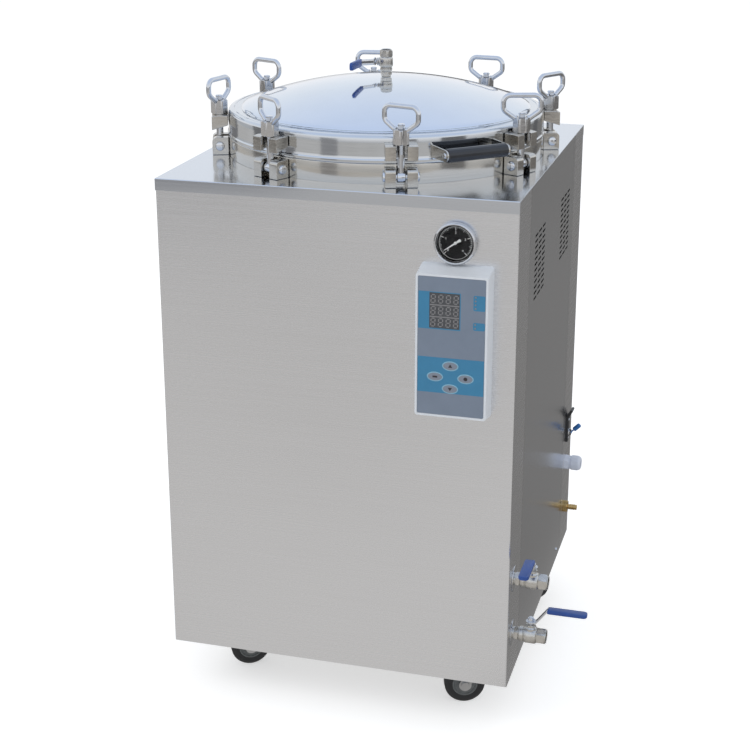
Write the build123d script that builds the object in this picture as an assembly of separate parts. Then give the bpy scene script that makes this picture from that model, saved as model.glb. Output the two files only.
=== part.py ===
from build123d import *
from math import cos, radians, sqrt
import os

# Vertical steam autoclave with a bolted round lid, in millimetres, +Z up, floor at z = 0.

# Cabinet
cabinet_width = 600.0
cabinet_depth = 642.0
cabinet_height = 840.0
sheet = 1.5
corner_radius = 3.0
fold_radius = 1.35
corner_return = 97.0
seam_gap = 0.6
fit_gap = 0.3
pin_gap = 0.1
overshoot = 1.0
arc_mid_share = 0.5
cap_band_height = 20.0
tray_flange_height = 25.0

# Side vents, three columns of slots in each of two groups
vent_slot_length = 26.0
vent_slot_height = 3.8
vent_column_pitch = 34.0
vent_row_pitch = 9.75
vent_columns = 3
vent_rows = 12
vent_group_offset = 129.0
vent_drop = 92.0

# Casters
caster_height = 100.0
wheel_radius = 36.0
wheel_width = 24.0
hub_radius = 22.0
hub_recess = 2.0
hub_boss_radius = 11.0
tyre_round = 5.0
caster_trail = 25.0
caster_inset_x = 72.0
caster_inset_y = 116.0
caster_plate_size = 70.0
caster_plate_thickness = 3.0
kingpin_radius = 5.0
kingpin_head_radius = 8.0
kingpin_head_height = 4.0
swivel_disc_radius = 24.0
swivel_disc_height = 8.0
fork_root_half = 18.8
fork_toe_half = 9.6
fork_arm_thickness = 2.5
fork_side_gap = 1.5
fork_toe_radius = 11.0
axle_radius = 4.0
axle_head_radius = 7.5
axle_head_height = 4.0
pin_clearance = 0.25
caster_headings = (30.0, 200.0, 40.0, -25.0)

# Pressure chamber and its neck above the top plate
neck_margin = 26.0
neck_height = 33.0
neck_skirt = 10.0
flange_thickness = 18.0
neck_flange_width = 30.0
chamber_wall = 3.0
chamber_depth = 600.0
chamber_dish = 60.0

# Lid
lid_flange_thickness = 8.0
lid_flange_lip = 1.5
band_wall = 4.0
band_top_height = 68.0
shoulder_radius = 10.0
dome_edge_inset = 24.0
dome_rise = 46.0
dome_skirt = 4.0
dome_wall = 3.0

# Swing bolt clamps, spaced evenly round the lid
clamp_count = 8
clamp_first_angle = 20.0
bolt_stand_off = 15.0
bolt_radius = 6.0
eye_radius = 9.0
eye_thickness = 14.0
pivot_radius = 5.0
pivot_height = 15.5
pivot_head_radius = 8.0
pivot_head_height = 4.0
lug_thickness = 17.0
lug_slot = 18.0
lug_reach = 28.0
neck_lug_height = 30.0
neck_lug_corner = 7.0
nut_seat_above_pivot = 52.5
lid_lug_height = 25.0
lid_lug_undercut = 8.0
nut_across_flats = 25.0
nut_height = 24.0
bolt_stub = 8.0
bolt_chamfer = 1.0
ring_wire_radius = 4.3
ring_width = 70.0
ring_height = 40.0
ring_foot_spread = 20.0
ring_foot_sink = 3.0
ring_corner_radius = 17.5
ring_side_radius = 11.0
ring_side_height = 24.0
ring_headings = (-15.5, 17.5, 58.5, -4.5, 10.0, -24.0, 77.5, -42.5)

# Lid handle
handle_angle = 42.5
handle_stand_off = 38.0
handle_height = 52.0
grip_length = 108.0
grip_radius = 11.0
grip_edge_round = 1.5
bracket_thickness = 3.0
bracket_root_height = 20.0
bracket_toe_radius = 9.0

# Ball valves: two drains, and a smaller one of the same shape on the lid
valve_nipple_radius = 10.5
valve_nipple_length = 10.0
valve_nipple_flats = 22.0
valve_nipple_hex_length = 6.5
valve_shoulder_radius = 13.0
valve_shoulder_length = 10.0
valve_body_radius = 14.5
valve_body_length = 22.0
valve_body_round = 2.0
valve_hex_flats = 25.0
valve_hex_length = 14.0
valve_lip_radius = 11.5
valve_lip_length = 2.0
valve_port_radius = 9.3
valve_port_depth = 15.0
valve_bonnet_radius = 8.0
valve_bonnet_height = 20.0
valve_stem_radius = 3.5
valve_stem_root = 8.7
valve_stem_socket = 7.25
lever_seat_height = 24.0
lever_thickness = 2.5
lever_width = 13.0
lever_eye_radius = 8.5
lever_flat = 9.0
lever_crank_run = 18.0
lever_crank_rise = 24.0
lever_length = 92.0
sleeve_wall = 2.0
sleeve_edge_round = 1.8
stem_nut_flats = 10.0
stem_nut_height = 5.0
stem_tip = 2.0
escutcheon_radius = 23.0
escutcheon_thickness = 1.5
lid_valve_scale = 0.8
lid_valve_turn = 178.0
lid_lever_turn = -90.0
drain_inset = 43.0
drain_upper_height = 183.0
drain_lower_height = 82.0
drain_upper_lever = -90.0
drain_lower_lever = 0.0

# Pressure gauge
gauge_radius = 34.0
gauge_depth = 13.0
gauge_bezel_width = 4.5
gauge_recess = 9.0
gauge_glass_thickness = 2.0
gauge_from_right = 99.0
gauge_drop = 71.0
gauge_bezel_round = 2.5
dial_thickness = 1.0

# Control panel
panel_width = 115.0
panel_height = 234.0
panel_depth = 40.0
panel_side_draft = 0.8
panel_end_draft = 7.5
panel_corner = 4.0
panel_wall = 3.0
panel_rim = 3.5
panel_recess = 1.0
keypad_thickness = 0.8
panel_from_right = 96.0
panel_drop = 113.5

# Fittings on the rear return of the right side
fitting_from_back = 66.0
gland_height = 177.0
gland_hex_flats = 27.0
gland_hex_length = 7.0
gland_collar_radius = 13.0
gland_collar_length = 5.0
gland_nut_radius = 14.5
gland_nut_length = 20.0
gland_nut_round = 5.0
gland_cable_radius = 6.8
gland_cable_depth = 22.0
nozzle_height = 81.0
nozzle_hex_flats = 22.0
nozzle_hex_length = 9.0
nozzle_tail_radius = 5.75
nozzle_tail_length = 18.0
nozzle_bore_radius = 3.5
nozzle_bore_depth = 22.5
switch_height = 249.0
switch_plate_width = 22.0
switch_plate_height = 50.0
switch_plate_thickness = 4.5
switch_guard_length = 18.0
switch_guard_lean = 30.0
switch_lever_drop = 8.0
switch_collar_radius = 6.0
switch_collar_height = 5.0
switch_ball_radius = 2.6
switch_lever_radius = 1.5
switch_lever_length = 12.0
switch_cap_radius = 4.5
switch_cap_round = 3.0
switch_cap_start = 8.0
switch_ball_sink = 0.65
switch_cap_length = 17.0
switch_lean = 45.0

# Levels and radii that follow from the sizes above
base_z = caster_height
top_z = base_z + cabinet_height
front_y = -cabinet_depth / 2
back_y = cabinet_depth / 2
right_x = cabinet_width / 2
neck_radius = cabinet_width / 2 - neck_margin
chamber_radius = neck_radius - neck_flange_width
dome_edge_radius = neck_radius - dome_edge_inset
neck_top_z = top_z + neck_height
lid_bottom_z = neck_top_z + fit_gap
band_top_z = top_z + band_top_height
shoulder_top_z = band_top_z + shoulder_radius
dome_edge_z = shoulder_top_z + dome_skirt
dome_top_z = dome_edge_z + dome_rise
dome_seat_radius = dome_edge_radius - dome_wall
pivot_z = top_z + pivot_height
bolt_circle = neck_radius + bolt_stand_off
nut_seat_z = pivot_z + nut_seat_above_pivot
nut_top_z = nut_seat_z + nut_height
lug_middle = (lug_slot + lug_thickness) / 2
swivel_disc_top = caster_height - caster_plate_thickness - fit_gap
swivel_disc_bottom = swivel_disc_top - swivel_disc_height
arm_middle = wheel_width / 2 + fork_side_gap + fork_arm_thickness / 2
valve_body_start = valve_nipple_length + valve_shoulder_length
valve_body_end = valve_body_start + valve_body_length
valve_hex_end = valve_body_end + valve_hex_length
valve_length = valve_hex_end + valve_lip_length
valve_stem_x = valve_body_start + valve_body_length / 2
lever_reach = lever_length + sleeve_wall
gauge_x = right_x - gauge_from_right
gauge_z = top_z - gauge_drop
panel_x = right_x - panel_from_right
panel_z = top_z - panel_drop - panel_height / 2
fitting_y = back_y - fitting_from_back
drain_y = front_y + drain_inset
clamp_angles = [clamp_first_angle + n * 360.0 / clamp_count for n in range(clamp_count)]
caster_centres = [(side * (cabinet_width / 2 - caster_inset_x), end * (cabinet_depth / 2 - caster_inset_y))
                  for end in (-1, 1) for side in (-1, 1)]
left_extent = right_x
right_extent = right_x + valve_stem_x + lever_reach
front_extent = -(drain_y - lever_reach)
back_extent = back_y + sheet + fit_gap
origin_x = (right_extent - left_extent) / 2
origin_y = (back_extent - front_extent) / 2


def cylinder_up(radius, bottom, top):
    """Upright cylinder on the origin's axis between two heights."""
    return Pos(0, 0, bottom) * extrude(Circle(radius), top - bottom)


def hexagon_up(flats, bottom, top):
    """Upright hexagonal prism, measured across its flats."""
    return Pos(0, 0, bottom) * extrude(RegularPolygon(flats / 2, 6, major_radius=False), top - bottom)


def closed_face(*lines_in_order):
    """Face inside a closed chain of lines and arcs."""
    return make_face([edge for line in lines_in_order for edge in line.edges()])


def spun(*edges):
    """Turn a closed outline drawn in the XZ plane about the Z axis."""
    return revolve(closed_face(*edges), Axis.Z)


def lines(*points):
    """Straight edges through points given as radius and height."""
    return Polyline(*[(r, 0, z) for r, z in points])


def radial(angle):
    """Place something drawn along +X at an angle counted from the front, seen from above."""
    return Rot(0, 0, angle - 90.0)


def wall_frame(y, z):
    """Place something drawn up +Z so that it grows out of the right wall."""
    return Pos(right_x, y, z) * Rot(0, 90, 0)


def cabinet_tube():
    """The folded sheet walls as one closed tube, before the seams part them."""
    outer = RectangleRounded(cabinet_width, cabinet_depth, corner_radius)
    inner = RectangleRounded(cabinet_width - 2 * sheet, cabinet_depth - 2 * sheet, corner_radius - sheet)
    return Pos(0, 0, base_z) * extrude(outer - inner, cabinet_height - sheet)


def end_panel(tube, end):
    """Front or back sheet with its two corner returns."""
    middle = end * (cabinet_depth - corner_return) / 2
    keep = Pos(0, middle, base_z + cabinet_height / 2) * Box(
        2 * cabinet_width, corner_return, 2 * cabinet_height)
    return tube & keep


def vent_slots():
    """Cutters for both groups of slots in one side panel, through the thickness along X."""
    slot = Box(2 * (sheet + overshoot), vent_slot_length, vent_slot_height)
    columns = [(n - (vent_columns - 1) / 2) * vent_column_pitch for n in range(vent_columns)]
    first_row = top_z - vent_drop
    return [Pos(0, group * vent_group_offset + y, first_row - row * vent_row_pitch) * slot
            for group in (-1, 1) for y in columns for row in range(vent_rows)]


def side_panel(tube, side):
    """Side sheet between the corner returns, with its two groups of vent slots."""
    span = cabinet_depth - 2 * corner_return - 2 * seam_gap
    keep = Pos(side * cabinet_width / 2, 0, base_z + cabinet_height / 2) * Box(
        cabinet_width / 2, span, 2 * cabinet_height)
    return (tube & keep) - [Pos(side * cabinet_width / 2, 0, 0) * slot for slot in vent_slots()]


def top_plate():
    """Top sheet with the neck hole and bands folded down over the front and back."""
    reach = cabinet_depth + 2 * (sheet + fit_gap)
    plate = Pos(0, 0, top_z - sheet / 2) * Box(cabinet_width, reach, sheet)
    for end in (-1, 1):
        band = Box(cabinet_width, sheet, cap_band_height)
        plate += Pos(0, end * (reach - sheet) / 2, top_z - cap_band_height / 2) * band
    folds = plate.edges().filter_by(Axis.X).group_by(Axis.Z)[-1]
    outer_folds = [edge for edge in folds if abs(edge.center().Y) > cabinet_depth / 2]
    plate = fillet(outer_folds, fold_radius)
    return plate - cylinder_up(neck_radius + fit_gap, top_z - 2 * sheet, top_z + sheet)


def base_tray():
    """Floor sheet with its edges turned up inside the walls."""
    width = cabinet_width - 2 * (sheet + fit_gap)
    depth = cabinet_depth - 2 * (sheet + fit_gap)
    tray = extrude(RectangleRounded(width, depth, corner_radius), tray_flange_height)
    inside = RectangleRounded(width - 2 * sheet, depth - 2 * sheet, corner_radius - sheet)
    hollow = extrude(inside, tray_flange_height)
    return Pos(0, 0, base_z) * (tray - Pos(0, 0, sheet) * hollow)


def chamber():
    """Pressure vessel: flanged neck, skirt through the top plate, wall and dished bottom."""
    outer_wall = chamber_radius + chamber_wall
    bottom_z = neck_top_z - chamber_depth
    flange_z = neck_top_z - flange_thickness
    skirt_z = top_z - neck_skirt
    skirt_inner = neck_radius - chamber_wall
    outline = lines((0, bottom_z - chamber_dish), (0, bottom_z - chamber_dish - chamber_wall))
    outer_level = dish_level(outer_wall, chamber_dish + chamber_wall, bottom_z)
    outer_dish = ThreePointArc((0, 0, bottom_z - chamber_dish - chamber_wall),
                               (outer_wall * arc_mid_share, 0, outer_level),
                               (outer_wall, 0, bottom_z))
    rise = lines((outer_wall, bottom_z), (outer_wall, flange_z), (skirt_inner, flange_z),
                 (skirt_inner, skirt_z), (neck_radius, skirt_z), (neck_radius, neck_top_z),
                 (chamber_radius, neck_top_z), (chamber_radius, bottom_z))
    inner_dish = ThreePointArc((chamber_radius, 0, bottom_z),
                               (chamber_radius * arc_mid_share, 0,
                                dish_level(chamber_radius, chamber_dish, bottom_z)),
                               (0, 0, bottom_z - chamber_dish))
    return spun(outline, outer_dish, rise, inner_dish)


def dish_level(radius, depth, rim_z):
    """Height of a spherical dish below its rim, where an arc's middle point is taken."""
    sphere = (radius ** 2 + depth ** 2) / (2 * depth)
    return rim_z + (sphere - depth) - sqrt(sphere ** 2 - (arc_mid_share * radius) ** 2)


def lid_rim():
    """Rolled lid ring: flat flange with a proud lip, vertical band and rounded shoulder."""
    flange_top = lid_bottom_z + lid_flange_thickness
    lip = neck_radius + lid_flange_lip
    inner_band = neck_radius - band_wall
    shoulder_inner = neck_radius - shoulder_radius
    bend = shoulder_radius * (1 - cos(radians(45)))
    inner_radius = shoulder_radius - band_wall
    inner_bend = inner_radius * (1 - cos(radians(45)))
    under_z = shoulder_top_z - band_wall
    outer = lines((chamber_radius, lid_bottom_z), (lip, lid_bottom_z), (lip, flange_top),
                  (neck_radius, flange_top), (neck_radius, band_top_z))
    shoulder = ThreePointArc((neck_radius, 0, band_top_z), (neck_radius - bend, 0, shoulder_top_z - bend),
                             (shoulder_inner, 0, shoulder_top_z))
    top = lines((shoulder_inner, shoulder_top_z), (chamber_radius, shoulder_top_z), (chamber_radius, under_z),
                (shoulder_inner, under_z))
    inner = ThreePointArc((shoulder_inner, 0, under_z), (inner_band - inner_bend, 0, under_z - inner_bend),
                          (inner_band, 0, band_top_z))
    back = lines((inner_band, band_top_z), (inner_band, flange_top), (chamber_radius, flange_top),
                 (chamber_radius, lid_bottom_z))
    return spun(outer, shoulder, top, inner, back)


def lid_dome():
    """Shallow spherical cap standing on the shoulder of the lid ring."""
    sphere = (dome_edge_radius ** 2 + dome_rise ** 2) / (2 * dome_rise)
    centre_z = dome_top_z - sphere
    outer_mid = dome_edge_radius * arc_mid_share
    inner_sphere = sphere - dome_wall
    inner_edge_z = centre_z + sqrt(inner_sphere ** 2 - dome_seat_radius ** 2)
    outer = ThreePointArc((0, 0, dome_top_z), (outer_mid, 0, centre_z + sqrt(sphere ** 2 - outer_mid ** 2)),
                          (dome_edge_radius, 0, dome_edge_z))
    inner_mid = dome_seat_radius * arc_mid_share
    foot = lines((dome_edge_radius, dome_edge_z), (dome_edge_radius, shoulder_top_z),
                 (dome_seat_radius, shoulder_top_z), (dome_seat_radius, inner_edge_z))
    inner = ThreePointArc((dome_seat_radius, 0, inner_edge_z),
                          (inner_mid, 0, centre_z + sqrt(inner_sphere ** 2 - inner_mid ** 2)),
                          (0, 0, dome_top_z - dome_wall))
    return spun(outer, foot, inner, lines((0, dome_top_z - dome_wall), (0, dome_top_z)))


def lug_pair(outline):
    """Two like plates, one each side of the slot, from an outline in the radial plane."""
    plate = extrude(outline, lug_thickness / 2, both=True)
    return [Pos(0, side * lug_middle, 0) * plate for side in (-1, 1)]


def neck_lugs():
    """Clevis plates on the neck, bored for the pivot pins, at every clamp."""
    inner = -bolt_stand_off + fit_gap
    outer = lug_reach - bolt_stand_off
    low = top_z + fit_gap
    high = top_z + neck_lug_height
    corner = neck_lug_corner
    bend = corner * (1 - cos(radians(45)))
    outline = closed_face(
        Polyline((inner, 0, low), (outer, 0, low), (outer, 0, high - corner)),
        ThreePointArc((outer, 0, high - corner), (outer - bend, 0, high - bend), (outer - corner, 0, high)),
        Polyline((outer - corner, 0, high), (inner, 0, high), (inner, 0, low)))
    hole = Pos(0, 0, pivot_z) * Rot(90, 0, 0) * Cylinder(pivot_radius + pin_gap, 4 * lug_middle)
    pair = [plate - hole for plate in lug_pair(outline)]
    return [radial(angle) * Pos(bolt_circle, 0, 0) * plate for angle in clamp_angles for plate in pair]


def lid_lugs():
    """Fork plates on the lid band: flat crown that falls away about the pivot, slanted underside."""
    inner = -bolt_stand_off + fit_gap
    outer = lug_reach - bolt_stand_off
    crown = nut_seat_above_pivot - fit_gap
    shoulder = sqrt(crown ** 2 - outer ** 2)
    middle = outer / 2
    low = nut_seat_z - lid_lug_height
    outline = closed_face(
        Polyline((outer, 0, pivot_z + shoulder), (outer, 0, low), (inner, 0, low + lid_lug_undercut),
                 (inner, 0, pivot_z + crown), (0, 0, pivot_z + crown)),
        ThreePointArc((0, 0, pivot_z + crown), (middle, 0, pivot_z + sqrt(crown ** 2 - middle ** 2)),
                      (outer, 0, pivot_z + shoulder)))
    pair = lug_pair(outline)
    return [radial(angle) * Pos(bolt_circle, 0, 0) * plate for angle in clamp_angles for plate in pair]


def clevis_pins():
    """Headed pins across the neck lugs."""
    half = lug_middle + lug_thickness / 2
    pin = Cylinder(pivot_radius, 2 * (half + fit_gap + pivot_head_height / 2))
    head_centre = half + fit_gap + pivot_head_height / 2
    for side in (-1, 1):
        pin += Pos(0, 0, side * head_centre) * Cylinder(pivot_head_radius, pivot_head_height)
    pin = Pos(bolt_circle, 0, pivot_z) * Rot(90, 0, 0) * pin
    return [radial(angle) * pin for angle in clamp_angles]


def swing_bolt(angle):
    """Eye, shank and the stub that shows above the nut."""
    shank_top = nut_top_z + bolt_stub
    bolt = cylinder_up(bolt_radius, pivot_z, shank_top)
    bolt = chamfer(bolt.edges().sort_by(Axis.Z)[-1], bolt_chamfer)
    bolt += Pos(0, 0, pivot_z) * Rot(90, 0, 0) * Cylinder(eye_radius, eye_thickness)
    bolt -= Pos(0, 0, pivot_z) * Rot(90, 0, 0) * Cylinder(pivot_radius + pin_clearance, 2 * eye_thickness)
    return radial(angle) * Pos(bolt_circle, 0, 0) * bolt


def ring_path():
    """Centre line of the eye ring, in the XZ plane: flat top, round corners, sides drawn in to the nut."""
    foot_z = nut_top_z - ring_foot_sink
    top = nut_top_z + ring_height - ring_wire_radius
    half = ring_width / 2 - ring_wire_radius
    foot = ring_foot_spread / 2
    shoulder_z = top - ring_side_height
    points = [(-foot, 0, foot_z), (-half, 0, shoulder_z), (-half, 0, top), (half, 0, top),
              (half, 0, shoulder_z), (foot, 0, foot_z)]
    radii = [ring_side_radius, ring_corner_radius, ring_corner_radius, ring_side_radius]
    return FilletPolyline(*points, radius=radii)


def eye_nut(angle, heading):
    """Hexagonal nut with its lifting ring welded on top; the heading is that of the ring's flat top."""
    path = ring_path()
    ring = sweep(Plane(origin=path @ 0, z_dir=path % 0) * Circle(ring_wire_radius), path=path)
    nut = hexagon_up(nut_across_flats, nut_seat_z, nut_top_z)
    nut = nut + ring
    nut -= cylinder_up(bolt_radius + pin_clearance, nut_seat_z - overshoot, nut_top_z + ring_height / 2)
    return radial(angle) * Pos(bolt_circle, 0, 0) * Rot(0, 0, heading - angle + 90.0) * nut


def handle_brackets():
    """Two tapered plates from the lid band out to the grip."""
    root = neck_radius + fit_gap
    toe = neck_radius + handle_stand_off
    middle_z = top_z + handle_height
    half = bracket_root_height / 2
    outline = closed_face(
        Polyline((root, 0, middle_z - half), (root, 0, middle_z + half),
                 (toe, 0, middle_z + bracket_toe_radius),
                 (toe, 0, middle_z - bracket_toe_radius), (root, 0, middle_z - half)))
    plate = extrude(outline, bracket_thickness / 2, both=True)
    plate += Pos(toe, 0, middle_z) * Rot(90, 0, 0) * Cylinder(bracket_toe_radius, bracket_thickness)
    offset = grip_length / 2 + bracket_thickness / 2 + fit_gap
    sagitta = neck_radius - sqrt(neck_radius ** 2 - offset ** 2)
    foot = Pos(root - sagitta / 2, 0, middle_z) * Box(sagitta, bracket_thickness, bracket_root_height)
    band = cylinder_up(neck_radius + fit_gap, top_z, shoulder_top_z)
    brackets = []
    for side in (-1, 1):
        bracket = Pos(0, side * offset, 0) * (plate + foot)
        brackets.append(radial(handle_angle) * (bracket - band))
    return brackets


def handle_grip():
    """Round grip between the brackets."""
    grip = Cylinder(grip_radius, grip_length)
    grip = fillet(grip.edges().filter_by(GeomType.CIRCLE), grip_edge_round)
    place = Pos(neck_radius + handle_stand_off, 0, top_z + handle_height)
    return radial(handle_angle) * place * Rot(90, 0, 0) * grip


def valve_body():
    """Ball valve lying along +Z from its nipple, with its stem bonnet towards +X."""
    body = cylinder_up(valve_nipple_radius, 0, valve_nipple_length)
    body += hexagon_up(valve_nipple_flats, valve_nipple_length - valve_nipple_hex_length, valve_nipple_length)
    body += cylinder_up(valve_shoulder_radius, valve_nipple_length, valve_body_start)
    middle = cylinder_up(valve_body_radius, valve_body_start, valve_body_end)
    body += fillet(middle.edges().filter_by(GeomType.CIRCLE), valve_body_round)
    body += hexagon_up(valve_hex_flats, valve_body_end, valve_hex_end)
    body += cylinder_up(valve_lip_radius, valve_hex_end, valve_length)
    bonnet = cylinder_up(valve_bonnet_radius, 0, valve_bonnet_height)
    stem_place = Pos(0, 0, valve_stem_x) * Rot(0, 90, 0)
    body += stem_place * bonnet
    body -= stem_place * cylinder_up(valve_stem_radius + pin_clearance, valve_stem_socket,
                                     valve_bonnet_height + overshoot)
    return body - cylinder_up(valve_port_radius, valve_length - valve_port_depth, valve_length + overshoot)


def lever_strip():
    """Cranked flat steel lever from the stem to the tip, outline in the XZ plane, stem on the Z axis."""
    low = lever_seat_height
    run = lever_flat + lever_crank_run
    high = low + lever_crank_rise
    outline = closed_face(
        Polyline((0, 0, low), (lever_flat, 0, low), (run, 0, high), (lever_length, 0, high),
                 (lever_length, 0, high + lever_thickness),
                 (run - lever_thickness / 2, 0, high + lever_thickness),
                 (lever_flat - lever_thickness / 2, 0, low + lever_thickness),
                 (0, 0, low + lever_thickness), (0, 0, low)))
    strip = extrude(outline, lever_width / 2, both=True)
    return strip + cylinder_up(lever_eye_radius, low, low + lever_thickness)


def valve_lever():
    """Lever with its stem, stem nut and the thick sleeve over the hand grip."""
    lever = lever_strip()
    high = lever_seat_height + lever_crank_rise
    start = lever_flat + lever_crank_run
    length = lever_reach - start
    sleeve = Box(length, lever_width + 2 * sleeve_wall, lever_thickness + 2 * sleeve_wall)
    sleeve = fillet(sleeve.edges().filter_by(Axis.X), sleeve_edge_round)
    lever += Pos(start + length / 2, 0, high + lever_thickness / 2) * sleeve
    nut_bottom = lever_seat_height + lever_thickness
    lever += hexagon_up(stem_nut_flats, nut_bottom, nut_bottom + stem_nut_height)
    lever += cylinder_up(valve_stem_radius, valve_stem_root, nut_bottom + stem_nut_height + stem_tip)
    return lever


def valve_lever_at(turn, size=1.0):
    """Lever on its stem, in the frame of a valve of a given size, turned from the outlet."""
    lever = scale(valve_lever(), by=size)
    return Pos(0, 0, size * valve_stem_x) * Rot(0, 90, 0) * Rot(0, 0, turn) * Rot(0, 0, 180) * lever


def drain_frame(height):
    """Place a valve drawn up +Z so that it leaves the right wall with its stem up."""
    return Pos(right_x, drain_y, height) * Rot(0, 90, 0) * Rot(0, 0, 180)


def lid_valve_frame():
    """Place a valve on the crown of the dome with its stem turned to the left."""
    return Pos(0, 0, dome_top_z + fit_gap) * Rot(0, 0, lid_valve_turn)


def escutcheons():
    """Round cover plates where the drain valves leave the wall."""
    plate = cylinder_up(escutcheon_radius, 0, escutcheon_thickness)
    plate -= cylinder_up(valve_nipple_radius + fit_gap, -overshoot, escutcheon_thickness + overshoot)
    heights = (base_z + drain_upper_height, base_z + drain_lower_height)
    return [wall_frame(drain_y, height) * plate for height in heights]


def gauge_place():
    """Place something drawn up +Z so that it grows out of the front at the gauge."""
    return Pos(gauge_x, front_y, gauge_z) * Rot(90, 0, 0)


def gauge_case():
    """Cup with a rounded bezel."""
    case = cylinder_up(gauge_radius, 0, gauge_depth)
    case = fillet(case.edges().sort_by(Axis.Z)[-1], gauge_bezel_round)
    inner = gauge_radius - gauge_bezel_width
    return gauge_place() * (case - cylinder_up(inner, gauge_depth - gauge_recess, gauge_depth + overshoot))


def gauge_disc(bottom, top):
    """Disc that fills the gauge's cup between two depths."""
    return gauge_place() * cylinder_up(gauge_radius - gauge_bezel_width - fit_gap, bottom, top)


def panel_place(depth):
    """Place something centred on the control panel, a given distance out of the front."""
    return Pos(panel_x, front_y - depth, panel_z) * Rot(90, 0, 0)


def panel_shell(inset, depth):
    """Solid box that narrows from the wall to the front, drawn in by an inset all round."""
    base = RectangleRounded(panel_width + 2 * (panel_side_draft - inset),
                            panel_height + 2 * (panel_end_draft - inset), panel_corner)
    front = RectangleRounded(panel_width - 2 * inset, panel_height - 2 * inset, panel_corner)
    return loft(Sketch() + [base, Pos(0, 0, depth) * front])


def panel_opening(clearance):
    """Outline of the recess that holds the keypad sheet."""
    inset = 2 * (panel_rim + clearance)
    return RectangleRounded(panel_width - inset, panel_height - inset, panel_corner - panel_rim / 2)


def control_frame():
    """Moulded box, open towards the wall, with a shallow recess in its front."""
    box = panel_shell(0, panel_depth) - panel_shell(panel_wall, panel_depth - panel_wall - panel_recess)
    recess = Pos(0, 0, panel_depth - panel_recess) * extrude(panel_opening(0), panel_recess)
    return panel_place(0) * (box - recess)


def control_face():
    """Keypad sheet lying in the box's recess."""
    return panel_place(panel_depth - panel_recess) * extrude(panel_opening(fit_gap), keypad_thickness)


def cable_gland():
    """Hexagon base, ribbed collar and domed clamping nut, bored for the cable."""
    collar_start = gland_hex_length
    nut_start = collar_start + gland_collar_length
    nut_end = nut_start + gland_nut_length
    gland = hexagon_up(gland_hex_flats, 0, collar_start)
    gland += cylinder_up(gland_collar_radius, collar_start, nut_start)
    nut = cylinder_up(gland_nut_radius, nut_start, nut_end)
    gland += fillet(nut.edges().sort_by(Axis.Z)[-1], gland_nut_round)
    gland -= cylinder_up(gland_cable_radius, nut_end - gland_cable_depth, nut_end + overshoot)
    return wall_frame(fitting_y, base_z + gland_height) * gland


def steam_nozzle():
    """Hexagon with a plain hose tail."""
    tail_end = nozzle_hex_length + nozzle_tail_length
    nozzle = hexagon_up(nozzle_hex_flats, 0, nozzle_hex_length)
    nozzle += cylinder_up(nozzle_tail_radius, nozzle_hex_length, tail_end)
    nozzle -= cylinder_up(nozzle_bore_radius, tail_end - nozzle_bore_depth, tail_end + overshoot)
    return wall_frame(fitting_y, base_z + nozzle_height) * nozzle


def switch_place():
    """Place something drawn up +Z, with +X down the wall, at the power switch."""
    return wall_frame(fitting_y, base_z + switch_height)


def power_switch():
    """Black plate with its top edge bent out as a guard, and the collar of the toggle."""
    plate = Pos(0, 0, switch_plate_thickness / 2) * Box(
        switch_plate_height, switch_plate_width, switch_plate_thickness)
    guard = Box(switch_guard_length, switch_plate_width, switch_plate_thickness)
    bend = Pos(-switch_plate_height / 2, 0, switch_plate_thickness / 2) * Rot(0, switch_guard_lean, 0)
    plate += bend * Pos(-switch_guard_length / 2, 0, 0) * guard
    top = switch_plate_thickness + switch_collar_height
    socket = cylinder_up(switch_ball_radius + fit_gap, top - switch_collar_height, top + overshoot)
    plate += Pos(switch_lever_drop, 0, 0) * cylinder_up(switch_collar_radius, 0, top)
    plate -= Pos(switch_lever_drop, 0, 0) * socket
    return switch_place() * plate


def switch_toggle():
    """Ball-rooted toggle with its round-ended cap, leaning up."""
    pivot = switch_plate_thickness + switch_collar_height - switch_ball_sink
    toggle = Sphere(switch_ball_radius) + cylinder_up(switch_lever_radius, 0, switch_lever_length)
    cap = cylinder_up(switch_cap_radius, switch_cap_start, switch_cap_start + switch_cap_length)
    toggle += fillet(cap.edges().filter_by(GeomType.CIRCLE), switch_cap_round)
    return switch_place() * Pos(switch_lever_drop, 0, pivot) * Rot(0, -switch_lean, 0) * toggle


def caster_mount(centre):
    """Square plate with the kingpin and its head."""
    top = caster_height
    bottom = caster_height - caster_plate_thickness
    plate = Pos(0, 0, (top + bottom) / 2) * Box(caster_plate_size, caster_plate_size, top - bottom)
    head_top = swivel_disc_bottom - fit_gap
    plate += cylinder_up(kingpin_radius, head_top, top)
    plate += cylinder_up(kingpin_head_radius, head_top - kingpin_head_height, head_top)
    return Pos(*centre, 0) * plate


def caster_frame(centre, heading):
    """Caster position with +X along its trail."""
    return Pos(*centre, 0) * Rot(0, 0, heading)


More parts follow.
